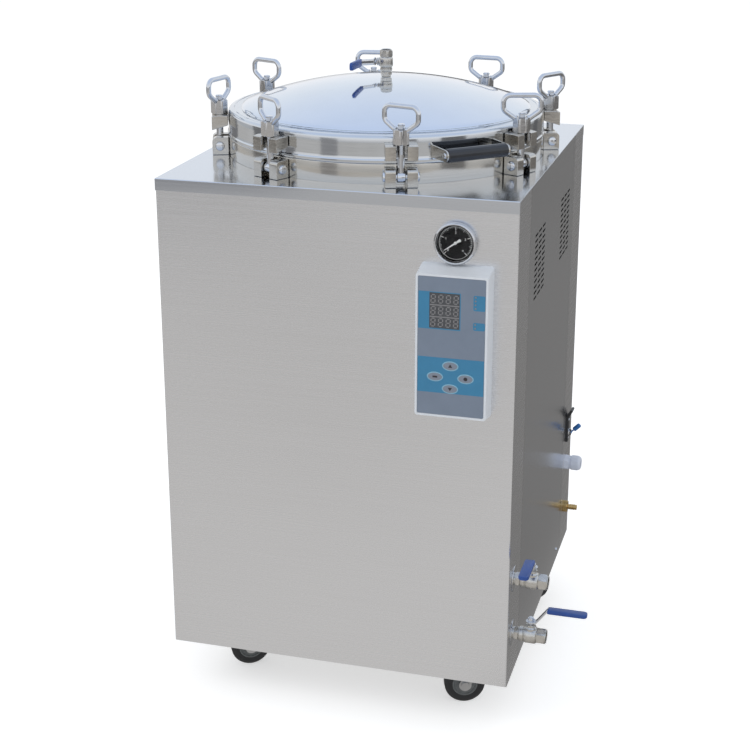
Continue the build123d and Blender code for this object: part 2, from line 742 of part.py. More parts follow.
def caster_fork():
    """Swivel disc, two raked arms and the axle."""
    fork = cylinder_up(swivel_disc_radius, swivel_disc_bottom, swivel_disc_top)
    outline = closed_face(
        Polyline((-fork_root_half, 0, swivel_disc_top), (fork_root_half, 0, swivel_disc_top),
                 (caster_trail + fork_toe_half, 0, wheel_radius),
                 (caster_trail - fork_toe_half, 0, wheel_radius),
                 (-fork_root_half, 0, swivel_disc_top)))
    arm = extrude(outline, fork_arm_thickness / 2, both=True)
    toe_place = Pos(caster_trail, 0, wheel_radius) * Rot(90, 0, 0)
    arm += toe_place * Cylinder(fork_toe_radius, fork_arm_thickness)
    for side in (-1, 1):
        fork += Pos(0, side * arm_middle, 0) * arm
    outer = arm_middle + fork_arm_thickness / 2
    fork += toe_place * Cylinder(axle_radius, 2 * outer)
    for side in (-1, 1):
        head = Cylinder(axle_head_radius, axle_head_height)
        fork += toe_place * Pos(0, 0, side * (outer + axle_head_height / 2)) * head
    return fork - cylinder_up(kingpin_radius + pin_clearance, swivel_disc_bottom - overshoot,
                              swivel_disc_top + overshoot)


def caster_wheel():
    """Tyre with rounded shoulders over a dished hub, bored for the axle."""
    wheel = Cylinder(wheel_radius, wheel_width)
    wheel = fillet(wheel.edges().filter_by(GeomType.CIRCLE), tyre_round)
    for side in (-1, 1):
        dish = Cylinder(hub_radius, 2 * hub_recess) - Cylinder(hub_boss_radius, 2 * hub_recess)
        wheel -= Pos(0, 0, side * wheel_width / 2) * dish
    wheel -= Cylinder(axle_radius + pin_clearance, 2 * wheel_width)
    return Pos(caster_trail, 0, wheel_radius) * Rot(90, 0, 0) * wheel


def all_nodes():
    """Every named piece, one entry a node."""
    tube = cabinet_tube()
    glass_top = gauge_depth - gauge_bezel_width / 2
    upper_drain = drain_frame(base_z + drain_upper_height)
    lower_drain = drain_frame(base_z + drain_lower_height)
    nodes = {
        "front_panel": end_panel(tube, -1),
        "back_panel": end_panel(tube, 1),
        "side_panel_left": side_panel(tube, -1),
        "side_panel_right": side_panel(tube, 1),
        "top_plate": top_plate(),
        "base_tray": base_tray(),
        "chamber": chamber(),
        "neck_lugs": neck_lugs(),
        "clevis_pins": clevis_pins(),
        "lid_rim": lid_rim(),
        "lid_dome": lid_dome(),
        "lid_lugs": lid_lugs(),
        "handle_brackets": handle_brackets(),
        "handle_grip": handle_grip(),
        "lid_valve": lid_valve_frame() * scale(valve_body(), by=lid_valve_scale),
        "drain_valve_upper": upper_drain * valve_body(),
        "drain_valve_lower": lower_drain * valve_body(),
        "escutcheons": escutcheons(),
        "gauge_case": gauge_case(),
        "gauge_dial": gauge_disc(gauge_depth - gauge_recess + pin_gap,
                                 gauge_depth - gauge_recess + pin_gap + dial_thickness),
        "gauge_glass": gauge_disc(glass_top - gauge_glass_thickness, glass_top),
        "control_frame": control_frame(),
        "control_face": control_face(),
        "cable_gland": cable_gland(),
        "steam_nozzle": steam_nozzle(),
        "power_switch": power_switch(),
        "switch_toggle": switch_toggle(),
        "caster_plates": [caster_mount(centre) for centre in caster_centres],
        "lid_valve_lever": lid_valve_frame() * valve_lever_at(lid_lever_turn, lid_valve_scale),
        "drain_lever_upper": upper_drain * valve_lever_at(drain_upper_lever),
        "drain_lever_lower": lower_drain * valve_lever_at(drain_lower_lever),
    }
    for number, (angle, heading) in enumerate(zip(clamp_angles, ring_headings), 1):
        nodes[f"swing_bolt_{number}"] = swing_bolt(angle)
        nodes[f"eye_nut_{number}"] = eye_nut(angle, heading)
    fork = caster_fork()
    wheel = caster_wheel()
    for number, (centre, heading) in enumerate(zip(caster_centres, caster_headings), 1):
        nodes[f"caster_fork_{number}"] = caster_frame(centre, heading) * fork
        nodes[f"caster_wheel_{number}"] = caster_frame(centre, heading) * wheel
    return nodes


def placed(shape):
    """The shape's solids, moved so that the origin lies under the middle of the whole machine."""
    pieces = shape if isinstance(shape, list) else [shape]
    solids = [Pos(-origin_x, -origin_y, 0) * solid for piece in pieces for solid in piece.solids()]
    return solids[0] if len(solids) == 1 else Compound(children=solids)


os.makedirs("parts", exist_ok=True)
for node, shape in all_nodes().items():
    export_step(placed(shape), f"parts/{node}.step")
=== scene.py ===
import bpy
import bmesh
import math
from mathutils import Matrix, Vector


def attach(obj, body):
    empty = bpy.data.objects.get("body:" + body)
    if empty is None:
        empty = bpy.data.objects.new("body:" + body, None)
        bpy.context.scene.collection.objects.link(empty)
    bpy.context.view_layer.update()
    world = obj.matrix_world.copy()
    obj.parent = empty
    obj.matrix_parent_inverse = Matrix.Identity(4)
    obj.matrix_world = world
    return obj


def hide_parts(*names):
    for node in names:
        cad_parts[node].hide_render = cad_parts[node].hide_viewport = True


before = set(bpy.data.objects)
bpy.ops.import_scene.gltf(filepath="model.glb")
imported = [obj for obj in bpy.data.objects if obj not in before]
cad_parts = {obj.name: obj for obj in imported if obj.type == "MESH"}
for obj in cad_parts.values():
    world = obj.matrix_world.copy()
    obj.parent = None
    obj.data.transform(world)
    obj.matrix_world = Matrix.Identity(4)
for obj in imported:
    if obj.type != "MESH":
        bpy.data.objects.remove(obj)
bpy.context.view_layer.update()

# Lengths are written in millimetres and turned into metres by MM.
MM = 0.001

# Main sizes of the cabinet and the lid, as in the part's source
CABINET_WIDTH, CABINET_DEPTH = 600.0, 642.0
BASE_Z, TOP_Z = 100.0, 940.0
ORIGIN = (62.5, -24.6)
FRONT_Y, BACK_Y, RIGHT_X = -CABINET_DEPTH / 2, CABINET_DEPTH / 2, CABINET_WIDTH / 2
NECK_R, CHAMBER_R, CHAMBER_WALL, DOME_R, BAND_WALL = 274.0, 244.0, 3.0, 250.0, 4.0
NECK_TOP, NECK_SKIRT, FLANGE = TOP_Z + 33.0, TOP_Z - 10.0, 18.0
CHAMBER_BOTTOM, CHAMBER_DISH = NECK_TOP - 600.0, 60.0
LID_BOTTOM, LIP_TOP, LIP_R = NECK_TOP + 0.3, NECK_TOP + 8.3, 275.5
BAND_TOP, SHOULDER_TOP, DOME_EDGE_Z, DOME_TOP = TOP_Z + 68.0, TOP_Z + 78.0, TOP_Z + 82.0, TOP_Z + 128.0
BOLT_CIRCLE, PIVOT_Z, NUT_SEAT, NUT_TOP = 289.0, TOP_Z + 15.5, TOP_Z + 68.0, TOP_Z + 92.0
BOLT_R, EYE_R, EYE_WIDTH, PIVOT_R, BOLT_STUB = 6.0, 9.0, 14.0, 5.0, 8.0
NUT_FLATS, RING_WIRE, RING_WIDTH, RING_HEIGHT = 25.0, 4.3, 70.0, 40.0
RING_SIDE, RING_CORNER_ROUND, RING_SIDE_ROUND = 24.0, 17.5, 11.0
CLAMP_ANGLES = [20.0 + 45.0 * n for n in range(8)]
RING_HEADINGS = (-15.5, 17.5, 58.5, -4.5, 10.0, -24.0, 77.5, -42.5)
HANDLE_ANGLE, HANDLE_R, HANDLE_Z, GRIP_LENGTH, GRIP_R = 42.5, 312.0, TOP_Z + 52.0, 108.0, 11.0
VALVE_STEM_X, VALVE_LENGTH, LID_VALVE_SIZE = 31.0, 58.0, 0.8
DRAIN_Y, DRAIN_HEIGHTS = FRONT_Y + 43.0, (BASE_Z + 183.0, BASE_Z + 82.0)
FITTING_Y, SCREW_Y = BACK_Y - 66.0, 181.0
GAUGE_X, GAUGE_Z, GAUGE_R, GAUGE_DEPTH = 201.0, TOP_Z - 71.0, 34.0, 13.0
PANEL_X, PANEL_Z, PANEL_DEPTH = 204.0, TOP_Z - 230.5, 40.0
KEYPAD_WIDTH, KEYPAD_HEIGHT = 107.4, 226.4
CASTERS = [(side * 228.0, end * 205.0) for end in (-1, 1) for side in (-1, 1)]
CASTER_HEADINGS = (30.0, 200.0, 40.0, -25.0)
CASTER_TRAIL, WHEEL_R, WHEEL_WIDTH = 25.0, 36.0, 24.0


# Placing

def move(x, y, z):
    """Shift in millimetres."""
    return Matrix.Translation(Vector((x, y, z)) * MM)


def turn(degrees, axis):
    """Rotation about X, Y or Z."""
    return Matrix.Rotation(math.radians(degrees), 4, axis)


CABINET = move(-ORIGIN[0], -ORIGIN[1], 0)


def clamp_place(n):
    """Clamp n's bolt axis at floor level, with X pointing away from the lid."""
    return CABINET @ turn(CLAMP_ANGLES[n] - 90, "Z") @ move(BOLT_CIRCLE, 0, 0)


def wall_place(y, z):
    """A point on the right wall, with Z pointing out of it."""
    return CABINET @ move(RIGHT_X, y, z) @ turn(90, "Y")


def front_place(x, z, out):
    """A point in front of the front wall, with Z pointing out of it and Y up."""
    return CABINET @ move(x, FRONT_Y - out, z) @ turn(90, "X")


# Meshes

def piece(name, verts, faces, material, place, body, node=None, sharp=32):
    """One mesh object from points in millimetres, riding on a body and standing for a CAD node if one is named."""
    mesh = bpy.data.meshes.new(name)
    mesh.from_pydata([Vector(v) * MM for v in verts], [], faces)
    work = bmesh.new()
    work.from_mesh(mesh)
    bmesh.ops.recalc_face_normals(work, faces=work.faces)
    work.to_mesh(mesh)
    work.free()
    mesh.shade_smooth()
    mesh.set_sharp_from_angle(angle=math.radians(sharp))
    mesh.materials.append(material)
    thing = bpy.data.objects.new(name, mesh)
    bpy.context.collection.objects.link(thing)
    thing.matrix_world = place
    bpy.context.view_layer.update()
    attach(thing, body)
    if node:
        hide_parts(node)
    return thing


def hexagon_radius(flats, angle):
    """Distance from the centre of a hexagon to its side, in a direction given in degrees."""
    return flats / 2 / math.cos(math.radians(angle % 60 - 30))


def turned(profile, segments=96):
    """Points and faces of a turned shape. A profile point is radius, height and, where the outline is a hexagon, its flats."""
    verts, rings, faces = [], [], []
    for point in profile:
        radius, height = point[0], point[1]
        flats = point[2] if len(point) > 2 else None
        if radius < 1e-6:
            rings.append([len(verts)])
            verts.append((0.0, 0.0, height))
            continue
        rings.append(list(range(len(verts), len(verts) + segments)))
        for i in range(segments):
            angle = 360.0 * i / segments
            r = min(radius, hexagon_radius(flats, angle)) if flats else radius
            verts.append((r * math.cos(math.radians(angle)), r * math.sin(math.radians(angle)), height))
    for low, high in zip(rings, rings[1:]):
        for i in range(segments):
            j = (i + 1) % segments
            if len(low) == 1 and len(high) > 1:
                faces.append((low[0], high[j], high[i]))
            elif len(high) == 1 and len(low) > 1:
                faces.append((low[i], low[j], high[0]))
            elif len(low) > 1:
                faces.append((low[i], low[j], high[j], high[i]))
    return verts, faces


def rounded(points, radii, steps=5, closed=False):
    """Fillet the corners of a chain of points, with one radius for all or one a point."""
    result = []
    last = len(points) - 1
    for i, here in enumerate(points):
        here = Vector(here)
        radius = radii[i] if isinstance(radii, (list, tuple)) else radii
        if radius <= 0 or (not closed and i in (0, last)):
            result.append(tuple(here))
            continue
        before = Vector(points[i - 1]) - here
        after = Vector(points[(i + 1) % len(points)]) - here
        room = 0.49 * min(before.length, after.length)
        u, v = before.normalized(), after.normalized()
        half = u.angle(v) / 2
        if half > math.radians(89):
            result.append(tuple(here))
            continue
        cut = min(radius / math.tan(half), room)
        size = cut * math.tan(half)
        centre = here + (u + v).normalized() * size / math.sin(half)
        start, end = here + u * cut - centre, here + v * cut - centre
        sweep = start.angle(end)
        for k in range(steps + 1):
            share = k / steps
            spoke = (start * math.sin((1 - share) * sweep) + end * math.sin(share * sweep)) / math.sin(sweep)
            result.append(tuple(centre + spoke))
    return result


def swept(path, radius, segments=20, closed=False):
    """Points and faces of a round wire along a path of 3-D points."""
    points = [Vector(p) for p in path]
    count = len(points)
    verts, faces = [], []
    normal = None
    for i, here in enumerate(points):
        if closed:
            along = (points[(i + 1) % count] - points[i - 1]).normalized()
        else:
            along = (points[min(i + 1, count - 1)] - points[max(i - 1, 0)]).normalized()
        if normal is None:
            normal = along.orthogonal().normalized()
        normal = (normal - along * normal.dot(along)).normalized()
        side = along.cross(normal)
        for k in range(segments):
            a = 2 * math.pi * k / segments
            verts.append(tuple(here + (normal * math.cos(a) + side * math.sin(a)) * radius))
    spans = count if closed else count - 1
    for i in range(spans):
        for k in range(segments):
            a, b = i * segments + k, i * segments + (k + 1) % segments
            c, d = ((i + 1) % count) * segments + (k + 1) % segments, ((i + 1) % count) * segments + k
            faces.append((a, b, c, d))
    if not closed:
        faces.append(tuple(range(segments)))
        faces.append(tuple(range((count - 1) * segments, count * segments)))
    return verts, faces


def prism(outline, low, high, bevel=0.0, steps=2, draft=0.0):
    """Points and faces of a flat outline in XY carried from one height to another, with its top edge rounded."""
    def inset(points, amount):
        result = []
        count = len(points)
        for i, p in enumerate(points):
            here = Vector(p)
            a = (here - Vector(points[i - 1])).normalized()
            b = (Vector(points[(i + 1) % count]) - here).normalized()
            na, nb = Vector((-a.y, a.x)), Vector((-b.y, b.x))
            mid = (na + nb)
            mid = mid / max(mid.length_squared / 2, 0.3)
            result.append(tuple(here + mid * amount))
        return result
    levels = [(0.0, low)]
    if bevel:
        for k in range(steps + 1):
            a = math.pi / 2 * k / steps
            levels.append((draft + bevel * (1 - math.cos(a)), high - bevel * (1 - math.sin(a))))
    else:
        levels.append((draft, high))
    verts, faces = [], []
    size = len(outline)
    for amount, z in levels:
        verts += [(x, y, z) for x, y in (inset(outline, amount) if amount else outline)]
    for level in range(len(levels) - 1):
        for i in range(size):
            j = (i + 1) % size
            a, b = level * size + i, level * size + j
            faces.append((a, b, b + size, a + size))
    faces.append(tuple(range(size)))
    faces.append(tuple(range((len(levels) - 1) * size, len(levels) * size)))
    return verts, faces


def joined(*parts):
    """One set of points and faces from several, each with a matrix in millimetres or None."""
    verts, faces = [], []
    for (points, loops), place in parts:
        start = len(verts)
        verts += [tuple(place @ Vector(p)) for p in points] if place else list(points)
        faces += [tuple(start + k for k in loop) for loop in loops]
    return verts, faces


def resized(shape, size):
    """Points scaled about the origin."""
    verts, faces = shape
    return [tuple(size * value for value in point) for point in verts], faces


def at(x=0.0, y=0.0, z=0.0):
    """Plain shift for points that are still in millimetres."""
    return Matrix.Translation(Vector((x, y, z)))


def rectangle(width, height, radius, steps=4):
    """Rounded rectangle round the origin, anticlockwise."""
    w, h = width / 2, height / 2
    return rounded([(-w, -h), (w, -h), (w, h), (-w, h)], radius, steps, closed=True)


# Materials

def new_material(name, colour, metallic=0.0, rough=0.5, **sockets):
    """Principled material with its constant numbers on the shader's own sockets."""
    material = bpy.data.materials.new(name)
    material.use_nodes = True
    shader = material.node_tree.nodes["Principled BSDF"]
    shader.inputs["Base Color"].default_value = (*colour, 1)
    shader.inputs["Metallic"].default_value = metallic
    shader.inputs["Roughness"].default_value = rough
    for socket, value in sockets.items():
        shader.inputs[socket.replace("_", " ")].default_value = value
    return material


def noise(material, stretch, scale=1.0, detail=3.0, roughness=0.55):
    """Noise over the object's own coordinates, stretched along its axes."""
    nodes, links = material.node_tree.nodes, material.node_tree.links
    place = nodes.new("ShaderNodeTexCoord")
    mapping = nodes.new("ShaderNodeMapping")
    mapping.inputs["Scale"].default_value = stretch
    texture = nodes.new("ShaderNodeTexNoise")
    texture.inputs["Scale"].default_value = scale
    texture.inputs["Detail"].default_value = detail
    texture.inputs["Roughness"].default_value = roughness
    links.new(place.outputs["Object"], mapping.inputs["Vector"])
    links.new(mapping.outputs["Vector"], texture.inputs["Vector"])
    return texture.outputs["Fac"]


def levels(material, value, low, high, start=0.3, end=0.7):
    """Map a noise value onto a range of numbers."""
    node = material.node_tree.nodes.new("ShaderNodeMapRange")
    for socket, number in (("From Min", start), ("From Max", end), ("To Min", low), ("To Max", high)):
        node.inputs[socket].default_value = number
    material.node_tree.links.new(value, node.inputs["Value"])
    return node.outputs["Result"]


def tinted(material, value, dark, light, start=0.3, end=0.7):
    """Colour between two shades by a noise value."""
    node = material.node_tree.nodes.new("ShaderNodeValToRGB")
    node.color_ramp.elements[0].position, node.color_ramp.elements[1].position = start, end
    node.color_ramp.elements[0].color = (*dark, 1)
    node.color_ramp.elements[1].color = (*light, 1)
    material.node_tree.links.new(value, node.inputs["Fac"])
    return node.outputs["Color"]


def shader_of(material):
    return material.node_tree.nodes["Principled BSDF"]


def relief(material, value, strength, distance):
    """Bump from a noise value, distance in millimetres, chained after any bump that is there."""
    nodes, links = material.node_tree.nodes, material.node_tree.links
    bump = nodes.new("ShaderNodeBump")
    bump.inputs["Strength"].default_value = strength
    bump.inputs["Distance"].default_value = distance * MM
    target = shader_of(material).inputs["Normal"]
    if target.is_linked:
        links.new(target.links[0].from_socket, bump.inputs["Normal"])
    links.new(value, bump.inputs["Height"])
    links.new(bump.outputs["Normal"], target)


def metal(name, colour, rough, spread=0.06, contrast=0.05, stretch=(8, 8, 8), scale=20.0, bump=0.0):
    """Metal with cloudy variation of colour and roughness, and a fine grain if bump is given."""
    material = new_material(name, colour, 1.0, rough)
    links = material.node_tree.links
    cloud = noise(material, stretch, scale, 4.0)
    dark = [c * (1 - contrast) for c in colour]
    light = [min(1.0, c * (1 + contrast)) for c in colour]
    links.new(tinted(material, cloud, dark, light), shader_of(material).inputs["Base Color"])
    links.new(levels(material, cloud, rough - spread / 2, rough + spread / 2), shader_of(material).inputs["Roughness"])
    if bump:
        relief(material, cloud, bump, 0.05)
    return material


def brushed(name, colour, rough, grain, contrast=0.05, bump=0.12, broad=(2, 2, 60)):
    """Sheet metal with long fine grain, from two stretched noises."""
    material = new_material(name, colour, 1.0, rough)
    links = material.node_tree.links
    fine = noise(material, grain, 1.0, 5.0, 0.7)
    wide = noise(material, broad, 1.0, 3.0)
    blend = material.node_tree.nodes.new("ShaderNodeMath")
    blend.operation = "MULTIPLY_ADD"
    links.new(fine, blend.inputs[0])
    blend.inputs[1].default_value = 0.6
    scaled = material.node_tree.nodes.new("ShaderNodeMath")
    scaled.operation = "MULTIPLY"
    links.new(wide, scaled.inputs[0])
    scaled.inputs[1].default_value = 0.4
    links.new(scaled.outputs[0], blend.inputs[2])
    mix = blend.outputs[0]
    dark = [c * (1 - contrast) for c in colour]
    light = [min(1.0, c * (1 + contrast)) for c in colour]
    links.new(tinted(material, mix, dark, light, 0.38, 0.62), shader_of(material).inputs["Base Color"])
    links.new(levels(material, mix, rough - 0.03, rough + 0.03, 0.38, 0.62), shader_of(material).inputs["Roughness"])
    relief(material, fine, bump, 0.03)
    return material


def plastic(name, colour, rough, contrast=0.04, scale=60.0, bump=0.08, coat=0.0, depth=0.1):
    """Moulded plastic, film or rubber with a faint mottle and texture."""
    material = new_material(name, colour, 0.0, rough, Coat_Weight=coat)
    links = material.node_tree.links
    cloud = noise(material, (1, 1, 1), scale, 4.0)
    fine = noise(material, (1, 1, 1), scale * 30, 2.0)
    dark = [c * (1 - contrast) for c in colour]
    light = [min(1.0, c * (1 + contrast)) for c in colour]
    links.new(tinted(material, cloud, dark, light), shader_of(material).inputs["Base Color"])
    links.new(levels(material, cloud, rough - 0.04, rough + 0.04), shader_of(material).inputs["Roughness"])
    relief(material, fine, bump, depth)
    return material


SHEET_STEEL = brushed("brushed_panel", (0.79, 0.79, 0.80), 0.27, (14, 14, 2600), 0.02, 0.02, (2, 2, 700))
SIDE_STEEL = brushed("side_steel", (0.66, 0.67, 0.69), 0.20, (14, 14, 2600), 0.02, 0.015, (2, 2, 700))
# Painted reflection: the blue cast in this steel's base colour is painted sky reflection, added to the blue that the
# sky gives in real reflections; the plate itself is near grey.
SKY_TINTED_TOP_STEEL = brushed("polished_plate", (0.66, 0.685, 0.725), 0.14, (14, 2600, 2600), 0.02, 0.02, (2, 400, 400))
TRAY_STEEL = brushed("tray_steel", (0.35, 0.35, 0.35), 0.38, (5, 900, 5))
# Painted reflection: the blue cast in this steel's base colour is painted sky reflection, added to the blue that the
# sky gives in real reflections; the dome itself is near grey.
SKY_TINTED_DOME_STEEL = metal("mirror_dome", (0.74, 0.77, 0.81), 0.07, 0.04, 0.02, (1, 1, 1), 14.0)
NECK_STEEL = metal("neck_steel", (0.64, 0.62, 0.58), 0.14, 0.06, 0.04, (1, 1, 40), 12.0)
RING_STEEL = metal("rim_steel", (0.66, 0.68, 0.70), 0.10, 0.05, 0.03, (1, 1, 30), 12.0)
LUG_STEEL = metal("ground_steel", (0.60, 0.57, 0.52), 0.20, 0.08, 0.08, (1, 1, 6), 60.0, 0.05)
CHROME = metal("polished_steel", (0.68, 0.69, 0.71), 0.09, 0.05, 0.04, (1, 1, 1), 80.0)
NUT_STEEL = metal("nut_steel", (0.58, 0.57, 0.56), 0.20, 0.08, 0.06, (1, 1, 8), 60.0, 0.04)
CAST_STEEL = metal("cast_valve", (0.60, 0.58, 0.54), 0.24, 0.10, 0.08, (1, 1, 1), 140.0, 0.12)
BRASS = metal("brass_fitting", (0.66, 0.46, 0.20), 0.24, 0.10, 0.10, (1, 1, 1), 120.0, 0.06)
ZINC = metal("zinc_steel", (0.50, 0.50, 0.50), 0.34, 0.12, 0.10, (1, 1, 1), 60.0, 0.06)
BEZEL = metal("chrome_bezel", (0.62, 0.63, 0.65), 0.08, 0.04, 0.03, (1, 1, 1), 60.0)
BLUE_VINYL = plastic("lever_blue", (0.012, 0.065, 0.30), 0.34, 0.10, 90.0, 0.15, 0.2)
BLACK_GRIP = plastic("black_grip", (0.020, 0.021, 0.026), 0.36, 0.15, 70.0, 0.10, 0.3)
WHITE_MOULD = plastic("white_frame", (0.80, 0.83, 0.87), 0.38, 0.02, 50.0, 0.06, 0.1)
NYLON = plastic("white_nylon", (0.70, 0.74, 0.84), 0.36, 0.03, 60.0, 0.06)
FILM_GREY = plastic("panel_face", (0.21, 0.255, 0.33), 0.42, 0.03, 40.0, 0.05)
FILM_BLUE = plastic("film_blue", (0.045, 0.235, 0.42), 0.40, 0.03, 40.0, 0.05)
FILM_WINDOW = plastic("film_window", (0.075, 0.078, 0.085), 0.26, 0.08, 60.0, 0.03, 0.2)
SEGMENT = plastic("segment_grey", (0.25, 0.245, 0.25), 0.45, 0.04, 60.0, 0.03)
KEY_GREY = plastic("key_grey", (0.24, 0.27, 0.33), 0.44, 0.04, 60.0, 0.05)
KEY_RIM = plastic("key_rim", (0.26, 0.50, 0.64), 0.42, 0.04, 60.0, 0.04)
INK_DARK = plastic("ink_dark", (0.030, 0.028, 0.035), 0.50, 0.10, 60.0, 0.03)
INK_WHITE = plastic("ink_white", (0.75, 0.76, 0.76), 0.50, 0.03, 60.0, 0.03)
DIAL_BLACK = plastic("dial_black", (0.012, 0.012, 0.013), 0.60, 0.12, 80.0, 0.04)
shader_of(DIAL_BLACK).inputs["Specular IOR Level"].default_value = 0.15
BLACK_PLASTIC = plastic("black_plastic", (0.018, 0.018, 0.020), 0.44, 0.12, 80.0, 0.10)
TOGGLE_BLUE = plastic("toggle_blue", (0.02, 0.16, 0.46), 0.32, 0.08, 90.0, 0.06, 0.2)
RUBBER = plastic("black_tyre", (0.022, 0.022, 0.023), 0.62, 0.20, 90.0, 0.25)
HUB_GREY = plastic("hub_grey", (0.16, 0.17, 0.17), 0.46, 0.06, 90.0, 0.08)
GLASS = new_material("clear_glass", (1, 1, 1), 0.0, 0.02, IOR=1.12, Transmission_Weight=1.0)
relief(GLASS, noise(GLASS, (1, 1, 1), 30.0), 0.01, 0.05)


def dress(material, *names):
    """Give CAD nodes their material."""
    for name in names:
        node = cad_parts[name]
        if not node.material_slots:
            node.data.materials.append(material)
        for slot in node.material_slots:
            slot.material = material


def soften(width, *names):
    """Round a CAD node's sharp edges a little, in modifiers only."""
    for name in names:
        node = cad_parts[name]
        weld = node.modifiers.new("weld", "WELD")
        weld.merge_threshold = 0.00001
        edges = node.modifiers.new("edges", "BEVEL")
        edges.width, edges.segments = width * MM, 2
        edges.limit_method, edges.angle_limit = "ANGLE", math.radians(35)
        edges.use_clamp_overlap = True
        normals = node.modifiers.new("normals", "WEIGHTED_NORMAL")
        normals.keep_sharp = False


# Camera, as the photograph was taken, with the lens kept nearly straight
CAMERA_AT = (0.6576, -2.6100, 1.5052)
CAMERA_YAW, CAMERA_PITCH = 0.2739, 0.3180
FOCAL_PIXELS, FRAME_PIXELS, CENTRE_ROW = 1579.2, 750.0, 330.0


def make_camera():
    data = bpy.data.cameras.new("camera")
    data.sensor_width = 36.0
    data.lens = FOCAL_PIXELS / FRAME_PIXELS * data.sensor_width
    data.shift_y = (CENTRE_ROW - FRAME_PIXELS / 2) / FRAME_PIXELS
    data.clip_end = 60.0
    camera = bpy.data.objects.new("camera", data)
    camera.location = CAMERA_AT
    camera.rotation_euler = (math.pi / 2 - CAMERA_PITCH, 0, CAMERA_YAW)
    bpy.context.collection.objects.link(camera)
    bpy.context.scene.camera = camera


def make_world():
    """White background; polished metal also sees a pale blue sky overhead and a grey ground."""
    world = bpy.data.worlds.new("studio")
    bpy.context.scene.world = world
    world.use_nodes = True
    nodes, links = world.node_tree.nodes, world.node_tree.links
    nodes.clear()
    out = nodes.new("ShaderNodeOutputWorld")
    plain, white, sky = (nodes.new("ShaderNodeBackground") for _ in range(3))
    plain.inputs["Color"].default_value = (0.93, 0.96, 1.0, 1)
    plain.inputs["Strength"].default_value = 0.62
    white.inputs["Color"].default_value = (1, 1, 1, 1)
    rays = nodes.new("ShaderNodeLightPath")
    place = nodes.new("ShaderNodeTexCoord")
    split = nodes.new("ShaderNodeSeparateXYZ")
    ramp = nodes.new("ShaderNodeValToRGB")
    for position, colour in ((0.0, (0.32, 0.32, 0.33)), (0.46, (0.60, 0.60, 0.61)), (0.52, (0.96, 0.97, 1.0)),
                             (0.66, (0.86, 0.92, 1.0)), (0.90, (0.66, 0.77, 0.98))):
        stop = ramp.color_ramp.elements.new(position)
        stop.color = (*colour, 1)
    ramp.color_ramp.elements.remove(ramp.color_ramp.elements[0])
    ramp.color_ramp.elements.remove(ramp.color_ramp.elements[-1])
    scale = nodes.new("ShaderNodeMapRange")
    scale.inputs["From Min"].default_value = -1
    links.new(place.outputs["Generated"], split.inputs[0])
    links.new(split.outputs["Z"], scale.inputs["Value"])
    links.new(scale.outputs["Result"], ramp.inputs["Fac"])
    links.new(ramp.outputs["Color"], sky.inputs["Color"])
    glossy, camera = nodes.new("ShaderNodeMixShader"), nodes.new("ShaderNodeMixShader")
    links.new(rays.outputs["Is Glossy Ray"], glossy.inputs["Fac"])
    links.new(plain.outputs[0], glossy.inputs[1])
    links.new(sky.outputs[0], glossy.inputs[2])
    seen = nodes.new("ShaderNodeMath")
    seen.operation = "MAXIMUM"
    links.new(rays.outputs["Is Camera Ray"], seen.inputs[0])
    links.new(rays.outputs["Is Transmission Ray"], seen.inputs[1])
    links.new(seen.outputs[0], camera.inputs["Fac"])
    links.new(glossy.outputs[0], camera.inputs[1])
    links.new(white.outputs[0], camera.inputs[2])
    links.new(camera.outputs[0], out.inputs["Surface"])


def make_floor():
    """Pale floor that shows white to the camera apart from the shadow."""
    mesh = bpy.data.meshes.new("floor")
    size = 12.0
    mesh.from_pydata([(-size, -size, 0), (size, -size, 0), (size, size, 0), (-size, size, 0)], [], [(0, 1, 2, 3)])
    floor = bpy.data.objects.new("floor", mesh)
    bpy.context.collection.objects.link(floor)
    material = bpy.data.materials.new("floor")
    material.use_nodes = True
    nodes, links = material.node_tree.nodes, material.node_tree.links
    shader = nodes["Principled BSDF"]
    shader.inputs["Base Color"].default_value = (0.86, 0.86, 0.86, 1)
    shader.inputs["Roughness"].default_value = 0.9
    shader.inputs["Specular IOR Level"].default_value = 0.0
    shader.inputs["Emission Color"].default_value = (1, 1, 1, 1)
    rays = nodes.new("ShaderNodeLightPath")
    lift = nodes.new("ShaderNodeMath")
    lift.operation = "MULTIPLY"
    lift.inputs[1].default_value = 0.52
    links.new(rays.outputs["Is Camera Ray"], lift.inputs[0])
    links.new(lift.outputs[0], shader.inputs["Emission Strength"])
    mesh.materials.append(material)


def make_card(name, place, width, height, shade):
    """Grey studio card that only reflections see."""
    mesh = bpy.data.meshes.new(name)
    w, h = width / 2, height / 2
    mesh.from_pydata([(-w, -h, 0), (w, -h, 0), (w, h, 0), (-w, h, 0)], [], [(0, 1, 2, 3)])
    card = bpy.data.objects.new(name, mesh)
    card.matrix_world = place
    bpy.context.collection.objects.link(card)
    material = bpy.data.materials.new(name)
    material.use_nodes = True
    nodes = material.node_tree.nodes
    nodes.clear()
    out = nodes.new("ShaderNodeOutputMaterial")
    glow = nodes.new("ShaderNodeEmission")
    glow.inputs["Color"].default_value = (shade, shade, shade * 1.03, 1)
    material.node_tree.links.new(glow.outputs[0], out.inputs["Surface"])
    mesh.materials.append(material)
    card.visible_camera = False
    card.visible_diffuse = False
    card.visible_transmission = False
    card.visible_shadow = False
    return card


def make_lamp(name, at_point, aim, size, watts):
    data = bpy.data.lights.new(name, "AREA")
    data.shape = "SQUARE"
    data.size = size
    data.energy = watts
    lamp = bpy.data.objects.new(name, data)
    lamp.location = at_point
    lamp.visible_glossy = False
    lamp.rotation_mode = "QUATERNION"
    lamp.rotation_quaternion = (Vector(aim) - Vector(at_point)).to_track_quat("-Z", "Y")
    bpy.context.collection.objects.link(lamp)


